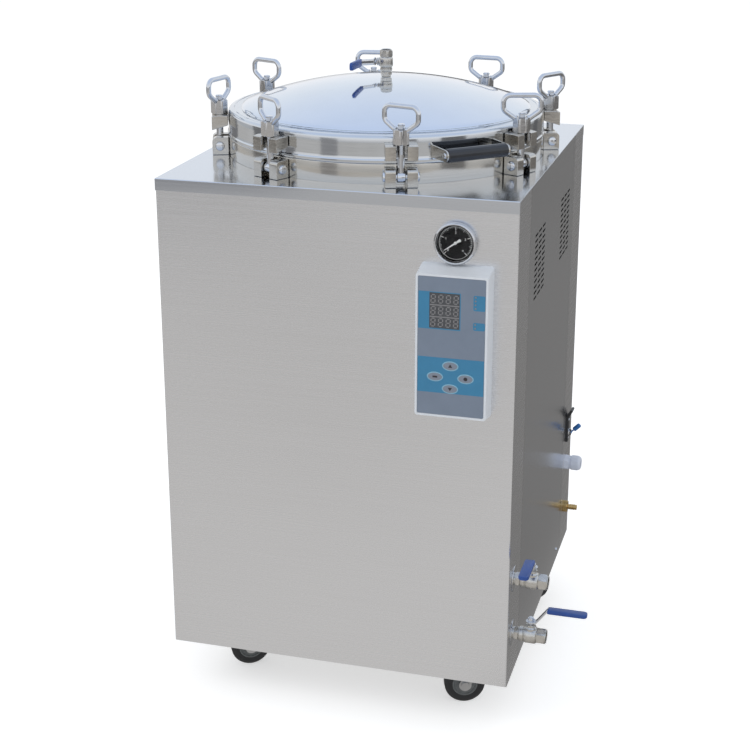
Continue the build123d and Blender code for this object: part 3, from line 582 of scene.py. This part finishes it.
def make_ground_card():
    """Grey ground that only reflections see, as outdoors, darker behind the right side."""
    card = make_card("ground_card", Matrix.Translation((0, 0, 0.002)), 14.0, 14.0, 0.5)
    material = card.data.materials[0]
    nodes, links = material.node_tree.nodes, material.node_tree.links
    cloud = noise(material, (1, 1, 1), 0.5, 1.0)
    shade = tinted(material, cloud, (0.54, 0.53, 0.52), (0.62, 0.61, 0.60), 0.35, 0.65)
    place = nodes.new("ShaderNodeTexCoord")
    split = nodes.new("ShaderNodeSeparateXYZ")
    links.new(place.outputs["Object"], split.inputs[0])
    right = levels(material, split.outputs["X"], 0.0, 1.0, 0.12, 0.30)
    behind = levels(material, split.outputs["Y"], 0.0, 1.0, -0.55, -0.15)
    both = nodes.new("ShaderNodeMath")
    both.operation = "MULTIPLY"
    links.new(right, both.inputs[0])
    links.new(behind, both.inputs[1])
    side = levels(material, both.outputs[0], 1.0, 0.36, 0.0, 1.0)
    dim = nodes.new("ShaderNodeVectorMath")
    dim.operation = "SCALE"
    links.new(shade, dim.inputs[0])
    links.new(side, dim.inputs["Scale"])
    glow = next(node for node in nodes if node.type == "EMISSION")
    links.new(dim.outputs[0], glow.inputs["Color"])


STUDIO_FLATS = ((-62, 1.6, 1.2, 0.20), (-25, 0.9, 1.0, 0.30), (30, 0.8, 1.1, 0.22), (62, 1.4, 1.2, 0.16), (110, 1.8, 1.3, 0.22),
                (150, 0.7, 1.0, 0.14), (190, 1.2, 1.0, 0.18), (235, 1.2, 1.1, 0.20), (275, 1.0, 1.0, 0.20))


def make_studio():
    make_floor()
    make_world()
    make_lamp("key", (-2.2, -2.6, 3.4), (0, 0, 0.6), 2.2, 34)
    make_lamp("fill", (3.0, -1.6, 2.4), (0, 0, 0.5), 2.4, 14)
    make_lamp("back", (0.4, 3.2, 3.0), (0, 0, 0.8), 2.0, 16)
    make_ground_card()
    for n, (angle, width, height, shade) in enumerate(STUDIO_FLATS):
        place = turn(angle, "Z") @ Matrix.Translation((0, -4.2, height / 2)) @ turn(90, "X")
        make_card(f"flat_{n}", place, width, height, shade)


# Vessel and lid

def vessel():
    wall = CHAMBER_R + CHAMBER_WALL
    dish = [(CHAMBER_R * math.sin(a), CHAMBER_BOTTOM - CHAMBER_DISH * (math.cos(a) - 0.0))
            for a in [math.radians(90.0 * k / 14) for k in range(15)]]
    inner = [(r, z) for r, z in dish]
    outer = [(r * wall / CHAMBER_R, z - CHAMBER_WALL * math.cos(math.radians(6.4 * k))) for k, (r, z) in enumerate(dish)]
    neck = rounded([(wall, NECK_TOP - FLANGE), (NECK_R - CHAMBER_WALL, NECK_TOP - FLANGE),
                    (NECK_R - CHAMBER_WALL, NECK_SKIRT), (NECK_R, NECK_SKIRT), (NECK_R, NECK_TOP), (CHAMBER_R, NECK_TOP)],
                   [0, 1.0, 0.5, 0.5, 1.2, 0], 4)
    profile = outer + neck + [(CHAMBER_R, NECK_TOP)] + inner[::-1]
    piece("vessel", *turned(profile, 192), NECK_STEEL, CABINET, "cabinet", "chamber")


def lid_ring():
    """Flange with its proud lip, band, rounded shoulder with a rolled step, and the inside."""
    inner = NECK_R - BAND_WALL
    outline = [(CHAMBER_R, LID_BOTTOM), (LIP_R, LID_BOTTOM), (LIP_R, LIP_TOP - 2.6), (NECK_R, LIP_TOP - 0.6),
               (NECK_R - 0.4, LIP_TOP + 3), (NECK_R - 0.4, BAND_TOP - 2), (NECK_R - 1.0, SHOULDER_TOP - 1.2),
               (NECK_R - 10, SHOULDER_TOP + 0.2), (NECK_R - 11.2, SHOULDER_TOP - 0.9), (NECK_R - 12.4, SHOULDER_TOP + 0.2),
               (DOME_R + 2.5, SHOULDER_TOP), (CHAMBER_R, SHOULDER_TOP), (CHAMBER_R, SHOULDER_TOP - BAND_WALL),
               (inner, SHOULDER_TOP - BAND_WALL), (inner, LIP_TOP), (CHAMBER_R, LIP_TOP), (CHAMBER_R, LID_BOTTOM)]
    radii = [0, 1.2, 1.4, 0.4, 0.8, 2.0, 6.5, 0.6, 0.5, 0.6, 0, 0, 0, 3, 1, 0, 0]
    profile = rounded(outline, radii, 6)
    piece("lid_ring", *turned(profile, 256), RING_STEEL, CABINET, "cabinet", "lid_rim")


def lid_cap():
    """Domed top with the flat bead where it is welded to the ring."""
    rise = DOME_TOP - DOME_EDGE_Z
    sphere = (DOME_R ** 2 + rise ** 2) / (2 * rise)
    reach = math.asin(DOME_R / sphere)
    crown = [(sphere * math.sin(reach * k / 40), DOME_TOP - sphere * (1 - math.cos(reach * k / 40))) for k in range(40)]
    edge = [(DOME_R - 0.8, DOME_EDGE_Z - 0.3), (DOME_R, DOME_EDGE_Z - 1.4), (DOME_R - 0.6, DOME_EDGE_Z - 2.4),
            (DOME_R + 0.6, SHOULDER_TOP + 0.2), (DOME_R - 3, SHOULDER_TOP + 0.2)]
    under = [(r - 1.5 if r > 2 else 0.0, z - 3.0) for r, z in crown[::-1]]
    piece("lid_cap", *turned(crown + edge + under, 256), SKY_TINTED_DOME_STEEL, CABINET, "cabinet", "lid_dome", sharp=50)


def grip():
    """Black grip with shallow lengthwise flutes and rounded ends."""
    half = GRIP_LENGTH / 2
    profile = rounded([(0, -half), (GRIP_R, -half), (GRIP_R, half), (0, half)], 1.8, 5)
    verts, faces = turned(profile, 96)
    verts = [(x * k, y * k, z) for x, y, z in verts
             for k in [1 - 0.022 * (0.5 + 0.5 * math.cos(16 * math.atan2(y, x))) if math.hypot(x, y) > GRIP_R - 0.5 else 1]]
    place = CABINET @ turn(HANDLE_ANGLE - 90, "Z") @ move(HANDLE_R, 0, HANDLE_Z) @ turn(90, "X")
    piece("lid_grip", verts, faces, BLACK_GRIP, place, "cabinet", "handle_grip")
    for side in (-1, 1):
        head = turned([(0, 2.6), (2.0, 2.5), (4.2, 1.6), (4.8, 0.2), (4.8, -0.2), (0, -0.2)], 32)
        where = place @ move(0, 0, side * (half + 3.4)) @ (Matrix.Identity(4) if side > 0 else turn(180, "X"))
        piece(f"grip_screw_{'a' if side < 0 else 'b'}", *head, CHROME, where, "cabinet")


# Clamps

def ring_path():
    """Centre line of the lifting ring in the XZ plane."""
    foot, half = 10.0, RING_WIDTH / 2 - RING_WIRE
    low, top = NUT_TOP - 3.0, NUT_TOP + RING_HEIGHT - RING_WIRE
    shoulder = top - RING_SIDE
    corners = [(-foot, 0, low), (-half, 0, shoulder), (-half, 0, top), (half, 0, top), (half, 0, shoulder), (foot, 0, low)]
    return rounded(corners, [0, RING_SIDE_ROUND, RING_CORNER_ROUND, RING_CORNER_ROUND, RING_SIDE_ROUND, 0], 10)


def eye_nut(n):
    """Chamfered hexagonal nut with its lifting ring and the weld at the ring's feet."""
    corner = NUT_FLATS / 2 / math.cos(math.radians(30))
    bore = BOLT_R + 0.25
    nut = turned([(bore, NUT_SEAT), (corner - 1.4, NUT_SEAT, NUT_FLATS), (corner, NUT_SEAT + 1.0, NUT_FLATS),
                  (corner, NUT_TOP - 1.6, NUT_FLATS), (corner - 1.6, NUT_TOP - 0.4, NUT_FLATS),
                  (NUT_FLATS / 2 - 1.6, NUT_TOP), (bore + 0.9, NUT_TOP), (bore, NUT_TOP - 0.9), (bore, NUT_SEAT)], 96)
    ring = swept(ring_path(), RING_WIRE, 20)
    welds = []
    for side in (-1, 1):
        bead = turned([(0, -1.5), (4.6, -1.5), (4.4, 0.2), (3.4, 1.6), (0, 2.0)], 24)
        lean = Matrix.Rotation(math.radians(side * 38), 4, "Y")
        welds.append((bead, at(side * 11.2, 0, NUT_TOP) @ lean))
    place = clamp_place(n) @ turn(RING_HEADINGS[n] - CLAMP_ANGLES[n] + 90, "Z")
    shape = joined((nut, None), (ring, None), *welds)
    thing = piece(f"ring_nut_{n + 1}", *shape, NUT_STEEL, place, f"nut_{n + 1}", f"eye_nut_{n + 1}", sharp=28)
    thing.data.materials.append(CHROME)
    start = len(nut[1])
    for face in thing.data.polygons:
        if face.index >= start:
            face.material_index = 1


def bolt(n):
    """Eye with rounded cheeks, plain shank and the threaded end."""
    top = NUT_TOP + BOLT_STUB
    shank = [(0, PIVOT_Z + 4), (BOLT_R, PIVOT_Z + 4), (BOLT_R, NUT_SEAT - 16)]
    pitch = 1.75
    z = NUT_SEAT - 16
    while z < top - 2 * pitch:
        shank += [(BOLT_R - 0.9, z + pitch * 0.45), (BOLT_R, z + pitch)]
        z += pitch
    shank += [(BOLT_R, top - 1.2), (BOLT_R - 1.2, top), (0, top)]
    half, bore = EYE_WIDTH / 2, PIVOT_R + 0.25
    eye = turned(rounded([(bore, -half), (EYE_R, -half), (EYE_R, half), (bore, half), (bore, -half)],
                         [0, 1.6, 1.6, 0.4, 0], 4), 48)
    lay = at(0, 0, PIVOT_Z) @ Matrix.Rotation(math.pi / 2, 4, "X")
    shape = joined((turned(shank, 40), None), (eye, lay))
    piece(f"bolt_{n + 1}_turned", *shape, CHROME, clamp_place(n), f"bolt_{n + 1}", f"swing_bolt_{n + 1}")


def pins():
    """Clevis pins with domed heads, all on the neck."""
    shapes = []
    reach = 26.3
    head = [(0, -reach - 4), (4.4, -reach - 4), (7.0, -reach - 3.0), (7.9, -reach - 1.6), (8.0, -reach),
            (PIVOT_R, -reach)]
    other = [(r, -z) for r, z in head[::-1]]
    for n in range(8):
        lay = Matrix.Rotation(math.radians(CLAMP_ANGLES[n] - 90), 4, "Z") @ at(BOLT_CIRCLE, 0, PIVOT_Z)
        shapes.append((turned(head + other, 32), lay @ Matrix.Rotation(math.pi / 2, 4, "X")))
    piece("clevis_pin_set", *joined(*shapes), CHROME, CABINET, "cabinet", "clevis_pins")


# Valves and levers

def valve(name, place, node, size=1.0):
    """Ball valve along Z with its stem bonnet towards X."""
    flat = VALVE_STEM_X
    body = [(0, 0), (9.8, 0), (10.5, 0.8), (10.5, 3.5), (12.0, 3.7, 22), (12.8, 4.4, 22), (12.8, 9.4, 22), (12.0, 10, 22),
            (10.8, 10.2), (11.0, 11.0), (12.6, 12.0), (13.0, 13.5), (13.0, 18.6), (12.0, 19.6), (12.0, 20.4),
            (13.8, 21.4), (14.5, 23.5), (14.5, 38.0), (13.9, 40.4), (12.4, 41.8), (12.2, 42.2), (13.4, 42.4, 25),
            (14.4, 43.2, 25), (14.4, 54.8, 25), (13.2, 56.0, 25), (11.4, 56.2), (11.5, 57.4), (11.0, VALVE_LENGTH),
            (10.2, VALVE_LENGTH), (9.3, 57.2), (9.3, 46.0), (9.0, 43.2), (7.0, 43.0), (6.0, 41.5), (0, 41.0)]
    side = at(0, 0, flat) @ Matrix.Rotation(math.pi / 2, 4, "Y")
    bonnet = turned([(0, 8), (10.5, 8), (10.2, 14.0), (8.4, 15.8), (8.0, 16.4), (8.0, 17.6), (8.6, 17.8, 15),
                     (8.6, 19.4, 15), (7.6, 20.0, 15), (3.75, 20.0), (3.75, 12.0)], 48)
    lug = turned([(0, -13.9), (4.6, -13.9), (5.0, -13.2), (5.4, -9), (0, -8)], 32)
    second = turned([(0, 13.2), (3.6, 13.2), (4.2, 12.6), (5.0, 9), (0, 8)], 24)
    across = at(0, 0, flat + 4) @ Matrix.Rotation(math.pi / 2, 4, "X")
    shape = joined((turned(body, 72), None), (bonnet, side), (lug, across), (second, across))
    piece(name, *resized(shape, size), CAST_STEEL, place, "cabinet", node)


def lever(name, place, body, node, size=1.0):
    """Cranked steel strip with its stem and nut, and the blue sleeve over the hand end."""
    low, rise, thick, width, length = 24.0, 24.0, 2.5, 13.0, 92.0
    seat, run = 9.0, 27.0
    spine = rounded([(0, low + thick / 2), (seat, low + thick / 2), (run, low + rise + thick / 2),
                     (length - 2, low + rise + thick / 2)], [0, 4, 4, 0], 5)
    verts, faces = [], []
    section = rectangle(width, thick, 0.5, 2)
    corners = len(section)
    for i, (x, z) in enumerate(spine):
        a = Vector(spine[max(i - 1, 0)])
        b = Vector(spine[min(i + 1, len(spine) - 1)])
        along = (b - a).normalized()
        up = Vector((-along.y, along.x))
        for sy, sz in section:
            verts.append((x + up.x * sz, sy, z + up.y * sz))
    for i in range(len(spine) - 1):
        for k in range(corners):
            a, b = i * corners + k, i * corners + (k + 1) % corners
            faces.append((a, b, b + corners, a + corners))
    faces += [tuple(range(corners)), tuple(range((len(spine) - 1) * corners, len(spine) * corners))]
    eye = turned([(0, low), (8.1, low), (8.5, low + 0.4), (8.5, low + thick - 0.4), (8.1, low + thick), (0, low + thick)], 40)
    top = low + thick
    stem = turned([(0, 8.7), (3.5, 8.7), (3.5, top), (6.4, top), (6.4, top + 0.6), (5.2, top + 0.6, 10),
                   (5.8, top + 1.0, 10), (5.8, top + 4.2, 10), (5.0, top + 5.0, 10), (3.5, top + 5.0), (3.5, top + 6.4),
                   (2.9, top + 7.0), (0, top + 7.0)], 48)
    steel = resized(joined(((verts, faces), None), (eye, None), (stem, None)), size)
    strip = piece(f"{name}_strip", *steel, CHROME, place, body, node)
    start, end = run + 0.5, length + 2.0
    outline = rounded([(start, -7.6), (start + 4, -8.5), (end, -8.5), (end, 8.5), (start + 4, 8.5), (start, 7.6)],
                      [1, 3, 6, 6, 3, 1], 5, closed=True)
    middle = low + rise + thick / 2
    top_half = prism(outline, middle, middle + 3.25, 1.6, 4)
    low_half = prism(outline, 0, 3.25, 1.6, 4)
    flip = at(0, 0, middle) @ Matrix.Rotation(math.pi, 4, "X")
    vinyl = resized(joined((top_half, None), (low_half, flip)), size)
    sleeve = piece(f"{name}_sleeve", *vinyl, BLUE_VINYL, place, body)


def stem_place(valve_at, degrees, size=1.0):
    """The lever's own frame, from the valve's."""
    return valve_at @ move(0, 0, size * VALVE_STEM_X) @ turn(90, "Y") @ turn(degrees, "Z") @ turn(180, "Z")


def valves():
    crown = CABINET @ move(0, 0, DOME_TOP + 0.3) @ turn(178, "Z")
    valve("lid_valve_body", crown, "lid_valve", LID_VALVE_SIZE)
    lever("lid_lever", stem_place(crown, -90, LID_VALVE_SIZE), "lid_lever", "lid_valve_lever", LID_VALVE_SIZE)
    for label, height, degrees in zip(("upper", "lower"), DRAIN_HEIGHTS, (-90.0, 0.0)):
        drain = wall_place(DRAIN_Y, height) @ turn(180, "Z")
        valve(f"drain_{label}_body", drain, f"drain_valve_{label}")
        lever(f"drain_{label}_lever", stem_place(drain, degrees), f"{label}_lever", f"drain_lever_{label}")
    rose = turned([(10.8, 0.1), (22.6, 0.1), (23, 0.5), (22.4, 1.1), (19, 1.5), (13.4, 1.6), (12.6, 1.5), (10.8, 1.2),
                   (10.8, 0.1)], 64)
    shapes = []
    for height in DRAIN_HEIGHTS:
        lay = at(RIGHT_X, DRAIN_Y, height) @ Matrix.Rotation(math.pi / 2, 4, "Y")
        shapes.append((rose, lay))
    piece("rosettes", *joined(*shapes), CHROME, CABINET, "cabinet", "escutcheons")


# Gauge

def gauge():
    place = front_place(GAUGE_X, GAUGE_Z, 0)
    case = turned([(0, 0.1), (31.5, 0.1), (31.5, 3), (33.2, 4.4), (34, 6.5), (34, 10.2), (33.2, 12.2), (31.6, 13.0),
                   (30.4, 12.6), (29.6, 11.4), (29.4, 9.6), (29.4, 4.1), (0, 4.0)], 128)
    piece("gauge_bezel", *case, BEZEL, place, "cabinet", "gauge_case")
    disc = turned([(0, 5.1), (28.6, 5.1), (29.1, 5.0), (29.1, 4.2), (0, 4.2)], 96)
    piece("gauge_dial_plate", *disc, DIAL_BLACK, place, "cabinet", "gauge_dial")
    marks = []
    sweep, start, count = 270.0, 225.0, 40
    for k in range(count + 1):
        angle = start - sweep * k / count
        long = k % 10 == 0
        middle = k % 5 == 0
        inner, width = (20.5, 0.9) if long else ((22.2, 0.6) if middle else (23.6, 0.35))
        tick = prism([(inner, -width / 2), (25.6, -width / 2), (25.6, width / 2), (inner, width / 2)], 5.1, 5.22)
        marks.append((tick, Matrix.Rotation(math.radians(angle), 4, "Z")))
    rail = turned([(25.7, 5.1), (25.7, 5.2), (26.1, 5.2), (26.1, 5.1)], 96)
    marks.append((rail, None))
    piece("gauge_marks", *joined(*marks), INK_WHITE, place, "cabinet")
    for k, digit in enumerate("01234"):
        angle = math.radians(start - sweep * k / 4)
        curve = bpy.data.curves.new(f"gauge_number_{k}", "FONT")
        curve.body = digit
        curve.size = 5.4 * MM
        curve.extrude = 0.05 * MM
        curve.align_x, curve.align_y = "CENTER", "CENTER"
        curve.materials.append(INK_WHITE)
        text = bpy.data.objects.new(f"gauge_number_{k}", curve)
        bpy.context.collection.objects.link(text)
        text.matrix_world = place @ move(16.6 * math.cos(angle), 16.6 * math.sin(angle), 5.2)
        bpy.context.view_layer.update()
        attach(text, "cabinet")
    needle = prism([(-10, -1.9), (-9, -2.3), (-2, -1.3), (8, -1.0), (22, -0.4), (22, 0.4), (8, 1.0), (-2, 1.3), (-9, 2.3),
                    (-10, 1.9)], 6.4, 6.9)
    hub = turned([(0, 8.0), (1.6, 7.9), (2.4, 7.2), (2.4, 5.1), (0, 5.1)], 32)
    point = Matrix.Rotation(math.radians(215), 4, "Z")
    piece("gauge_pointer", *joined((needle, point), (hub, None)), INK_WHITE, place, "cabinet")
    pane = turned([(0, 11.0), (20, 10.95), (28.8, 10.6), (29.1, 10.4), (29.1, 8.8), (0, 9.2)], 96)
    piece("gauge_pane", *pane, GLASS, place, "cabinet", "gauge_glass")


# Control box

SEGMENTS = {"a": (0, 1, 0), "g": (0, 0, 0), "d": (0, -1, 0), "f": (-1, 0.5, 1), "b": (1, 0.5, 1), "e": (-1, -0.5, 1),
            "c": (1, -0.5, 1)}


def digit_shape(width, height, stroke):
    """All seven segments of an unlit display digit."""
    parts = []
    for x, y, upright in SEGMENTS.values():
        span = (height / 2 if upright else width) - stroke * 0.75
        bar = [(-span / 2, 0), (-span / 2 + stroke / 2, -stroke / 2), (span / 2 - stroke / 2, -stroke / 2), (span / 2, 0),
               (span / 2 - stroke / 2, stroke / 2), (-span / 2 + stroke / 2, stroke / 2)]
        spin = Matrix.Rotation(math.pi / 2 if upright else 0, 4, "Z")
        parts.append((prism(bar, 0, 0.12), at(x * width / 2, y * height / 2, 0) @ spin))
    return joined(*parts)


def panel_spot(u, v, out):
    """Place on the keypad by its share from the left and from the top, out of its face."""
    face = PANEL_DEPTH - 1.0 + 0.8
    return front_place(PANEL_X + (u - 0.5) * KEYPAD_WIDTH, PANEL_Z + (0.5 - v) * KEYPAD_HEIGHT, face + out)


def patch(name, u0, u1, v0, v1, radius, material, height=0.12, out=0.0):
    """Thin printed or raised area on the keypad."""
    outline = rectangle((u1 - u0) * KEYPAD_WIDTH, (v1 - v0) * KEYPAD_HEIGHT, radius)
    return piece(name, *prism(outline, 0, height, 0.04, 1), material, panel_spot((u0 + u1) / 2, (v0 + v1) / 2, out), "cabinet")


def keypad():
    dress(FILM_GREY, "control_face")
    patch("label_area_left", 0.008, 0.636, 0.106, 0.374, 0.6, FILM_BLUE)
    patch("label_area_upper", 0.822, 0.996, 0.113, 0.222, 2.5, FILM_BLUE)
    patch("label_area_lower", 0.822, 0.996, 0.306, 0.362, 2.5, FILM_BLUE)
    patch("key_band", 0.004, 0.996, 0.578, 0.838, 0.4, FILM_BLUE)
    patch("display_window", 0.172, 0.622, 0.112, 0.366, 0.8, FILM_WINDOW, 0.1, 0.12)
    patch("display_bars", 0.180, 0.614, 0.1955, 0.2035, 0.3, SEGMENT, 0.1, 0.2)
    patch("display_bar_two", 0.180, 0.614, 0.2805, 0.2885, 0.3, SEGMENT, 0.1, 0.2)
    digits = []
    for row in range(3):
        for column in range(4):
            x = (0.228 + 0.1125 * column - 0.5) * KEYPAD_WIDTH
            y = (0.5 - 0.1555 - 0.0845 * row) * KEYPAD_HEIGHT
            lean = Matrix(((1, 0.06, 0, 0), (0, 1, 0, 0), (0, 0, 1, 0), (0, 0, 0, 1)))
            digits.append((digit_shape(6.4, 12.8, 1.7), at(x, y, 0) @ lean))
    piece("display_digits", *joined(*digits), SEGMENT, panel_spot(0.5, 0.5, 0.22), "cabinet")
    lamps = []
    for v in (0.127, 0.152, 0.179, 0.206, 0.320, 0.347):
        x, y = (0.853 - 0.5) * KEYPAD_WIDTH, (0.5 - v) * KEYPAD_HEIGHT
        lamps.append((turned([(0, 0.7), (0.9, 0.6), (1.4, 0.2), (1.4, 0), (0, 0)], 24), at(x, y, 0)))
    piece("indicator_lamps", *joined(*lamps), SEGMENT, panel_spot(0.5, 0.5, 0.12), "cabinet")
    for n, (mark, tip) in enumerate(((0.496, 0.635), (0.496, 0.803), (0.268, 0.720), (0.726, 0.720))):
        outline = [(13.2 * math.cos(math.radians(a)), 8.0 * math.sin(math.radians(a))) for a in range(0, 360, 8)]
        inner = [(11.4 * math.cos(math.radians(a)), 6.3 * math.sin(math.radians(a))) for a in range(0, 360, 8)]
        piece(f"key_rim_{n}", *prism(outline, 0, 0.35, 0.25, 2), KEY_RIM, panel_spot(mark, tip, 0.12), "cabinet")
        piece(f"key_{n}", *prism(inner, 0, 0.55, 0.4, 3), KEY_GREY, panel_spot(mark, tip, 0.3), "cabinet")
        if n < 2:
            arrow = [(-3.4, -2.4), (3.4, -2.4), (0, 3.2)] if n == 0 else [(3.4, 2.4), (-3.4, 2.4), (0, -3.2)]
        elif n == 2:
            arrow = [(-3.8, -1.5), (3.8, -1.5), (3.8, 1.5), (-3.8, 1.5)]
        else:
            arrow = [(3.2 * math.cos(math.radians(a)), 3.2 * math.sin(math.radians(a))) for a in range(0, 360, 20)]
        piece(f"key_mark_{n}", *prism(arrow, 0, 0.1), INK_DARK, panel_spot(mark, tip, 0.85), "cabinet")


# Casters

def caster(n):
    centre, heading = CASTERS[n], CASTER_HEADINGS[n]
    place = CABINET @ move(*centre, 0) @ turn(heading, "Z") @ move(CASTER_TRAIL, 0, WHEEL_R) @ turn(90, "X")
    w = WHEEL_WIDTH / 2
    tyre = rounded([(22.4, -w + 0.8), (30.0, -w), (36.0, -w + 3.0), (36.0, w - 3.0), (30.0, w), (22.4, w - 0.8),
                    (22.4, -w + 0.8)], [0, 3.0, 3.5, 3.5, 3.0, 0, 0], 6)
    hub = rounded([(4.3, -w), (10.4, -w), (11.6, -w + 2.2), (18.6, -w + 2.2), (19.8, -w + 0.4), (22.4, -w + 0.4),
                   (22.4, w - 0.4), (19.8, w - 0.4), (18.6, w - 2.2), (11.6, w - 2.2), (10.4, w), (4.3, w), (4.3, -w)],
                  0.5, 3)
    tyre_mesh, hub_mesh = turned(tyre, 96), turned(hub, 96)
    wheel = piece(f"wheel_{n + 1}_tyre", *joined((tyre_mesh, None), (hub_mesh, None)), RUBBER, place, f"wheel_{n + 1}",
                  f"caster_wheel_{n + 1}")
    wheel.data.materials.append(HUB_GREY)
    for face in wheel.data.polygons:
        if face.index >= len(tyre_mesh[1]):
            face.material_index = 1


# Fittings on the rear of the right side

def fittings():
    place = wall_place(FITTING_Y, BASE_Z + 177.0)
    base = turned([(0, 0.1), (15.5, 0.1, 27), (15.5, 5.8, 27), (14.0, 7, 27), (12.6, 7), (12.6, 12), (6.8, 12)], 72)
    ribs = []
    for k in range(18):
        rib = prism(rectangle(2.2, 1.4, 0.5, 2), 7.2, 11.6)
        ribs.append((rib, Matrix.Rotation(math.radians(20 * k), 4, "Z") @ at(0, 12.4, 0)))
    cap = turned([(6.8, 12.2), (13.6, 12.2), (14.4, 13), (14.4, 25), (14.0, 27.4), (12.8, 29.6), (11.0, 31.2), (9.0, 32),
                  (7.6, 32), (6.8, 31.2), (6.8, 12.2)], 96)
    flutes = []
    for k in range(12):
        rib = prism(rectangle(3.2, 1.2, 0.5, 2), 13.4, 25.5)
        flutes.append((rib, Matrix.Rotation(math.radians(30 * k), 4, "Z") @ at(0, 14.05, 0)))
    seal = turned([(6.8, 30.4), (4.9, 29.8), (4.7, 22), (6.8, 22)], 48)
    piece("gland_body", *joined((base, None), *((r, m) for r, m in ribs), (cap, None), *flutes), NYLON, place, "cabinet",
          "cable_gland")
    piece("gland_seal", *seal, BLACK_PLASTIC, place, "cabinet")
    place = wall_place(FITTING_Y, BASE_Z + 81.0)
    corner = 22 / 2 / math.cos(math.radians(30))
    tail = turned([(0, 0.1), (corner - 0.8, 0.1, 22), (corner, 0.9, 22), (corner, 8.0, 22), (corner - 1.0, 9.0, 22),
                   (7.2, 9.2), (5.1, 10.2), (5.1, 12.0), (5.75, 15.0), (5.0, 15.2), (5.75, 18.6), (5.0, 18.8), (5.75, 22.2),
                   (5.0, 22.4), (5.3, 26.2), (4.6, 27), (3.9, 27), (3.5, 26.4), (3.5, 10), (0, 10)], 72)
    piece("hose_tail_turned", *tail, BRASS, place, "cabinet", "steam_nozzle")
    dress(BLACK_PLASTIC, "power_switch")
    soften(0.5, "power_switch")
    dress(TOGGLE_BLUE, "switch_toggle")
    place = wall_place(FITTING_Y, BASE_Z + 249.0)
    collar = turned([(3.6, 4.5), (7.2, 4.5), (7.6, 4.9, 13.6), (7.6, 6.6, 13.6), (6.9, 7.2, 13.6), (5.8, 7.4), (5.8, 9.4),
                     (5.5, 9.8), (3.8, 9.8), (3.4, 9.0), (3.4, 4.5)], 48)
    piece("switch_collar_nut", *collar, CHROME, place @ move(8, 0, 0), "cabinet")
    for k, x in enumerate((-18.0, 20.0)):
        head = turned([(0, 5.9), (1.4, 5.8), (2.4, 5.2), (2.7, 4.5), (0, 4.5)], 32)
        piece(f"switch_screw_{k}", *head, CHROME, place @ move(x, 0, 0), "cabinet")


def wall_screws():
    """Small pan screws that hold the side sheets at the rear return."""
    for k, z in enumerate((BASE_Z + 20.0,)):
        for side, name in ((1, "right"), (-1, "left")):
            head = turned([(0, 2.4), (1.8, 2.3), (3.2, 1.6), (3.7, 0.4), (3.7, 0.05), (0, 0.05)], 32)
            place = CABINET @ move(side * RIGHT_X, SCREW_Y, z) @ turn(side * 90, "Y")
            piece(f"wall_screw_{name}_{k}", *head, CHROME, place, "cabinet")


def dress_nodes():
    dress(SHEET_STEEL, "front_panel", "back_panel")
    dress(SIDE_STEEL, "side_panel_left", "side_panel_right")
    dress(SKY_TINTED_TOP_STEEL, "top_plate")
    dress(TRAY_STEEL, "base_tray")
    dress(LUG_STEEL, "neck_lugs", "lid_lugs", "handle_brackets")
    dress(WHITE_MOULD, "control_frame")
    dress(ZINC, "caster_plates", *(f"caster_fork_{n}" for n in range(1, 5)))
    soften(0.8, "neck_lugs", "lid_lugs")
    soften(0.5, "handle_brackets")
    soften(1.4, "control_frame")
    soften(0.4, "top_plate")
    soften(0.5, "caster_plates", *(f"caster_fork_{n}" for n in range(1, 5)))


make_camera()
make_studio()
dress_nodes()
vessel()
lid_ring()
lid_cap()
grip()
for clamp in range(8):
    eye_nut(clamp)
    bolt(clamp)
pins()
valves()
gauge()
keypad()
for corner in range(4):
    caster(corner)
fittings()
wall_screws()

scene = bpy.context.scene
scene.view_settings.view_transform = "Standard"
bpy.context.view_layer.update()
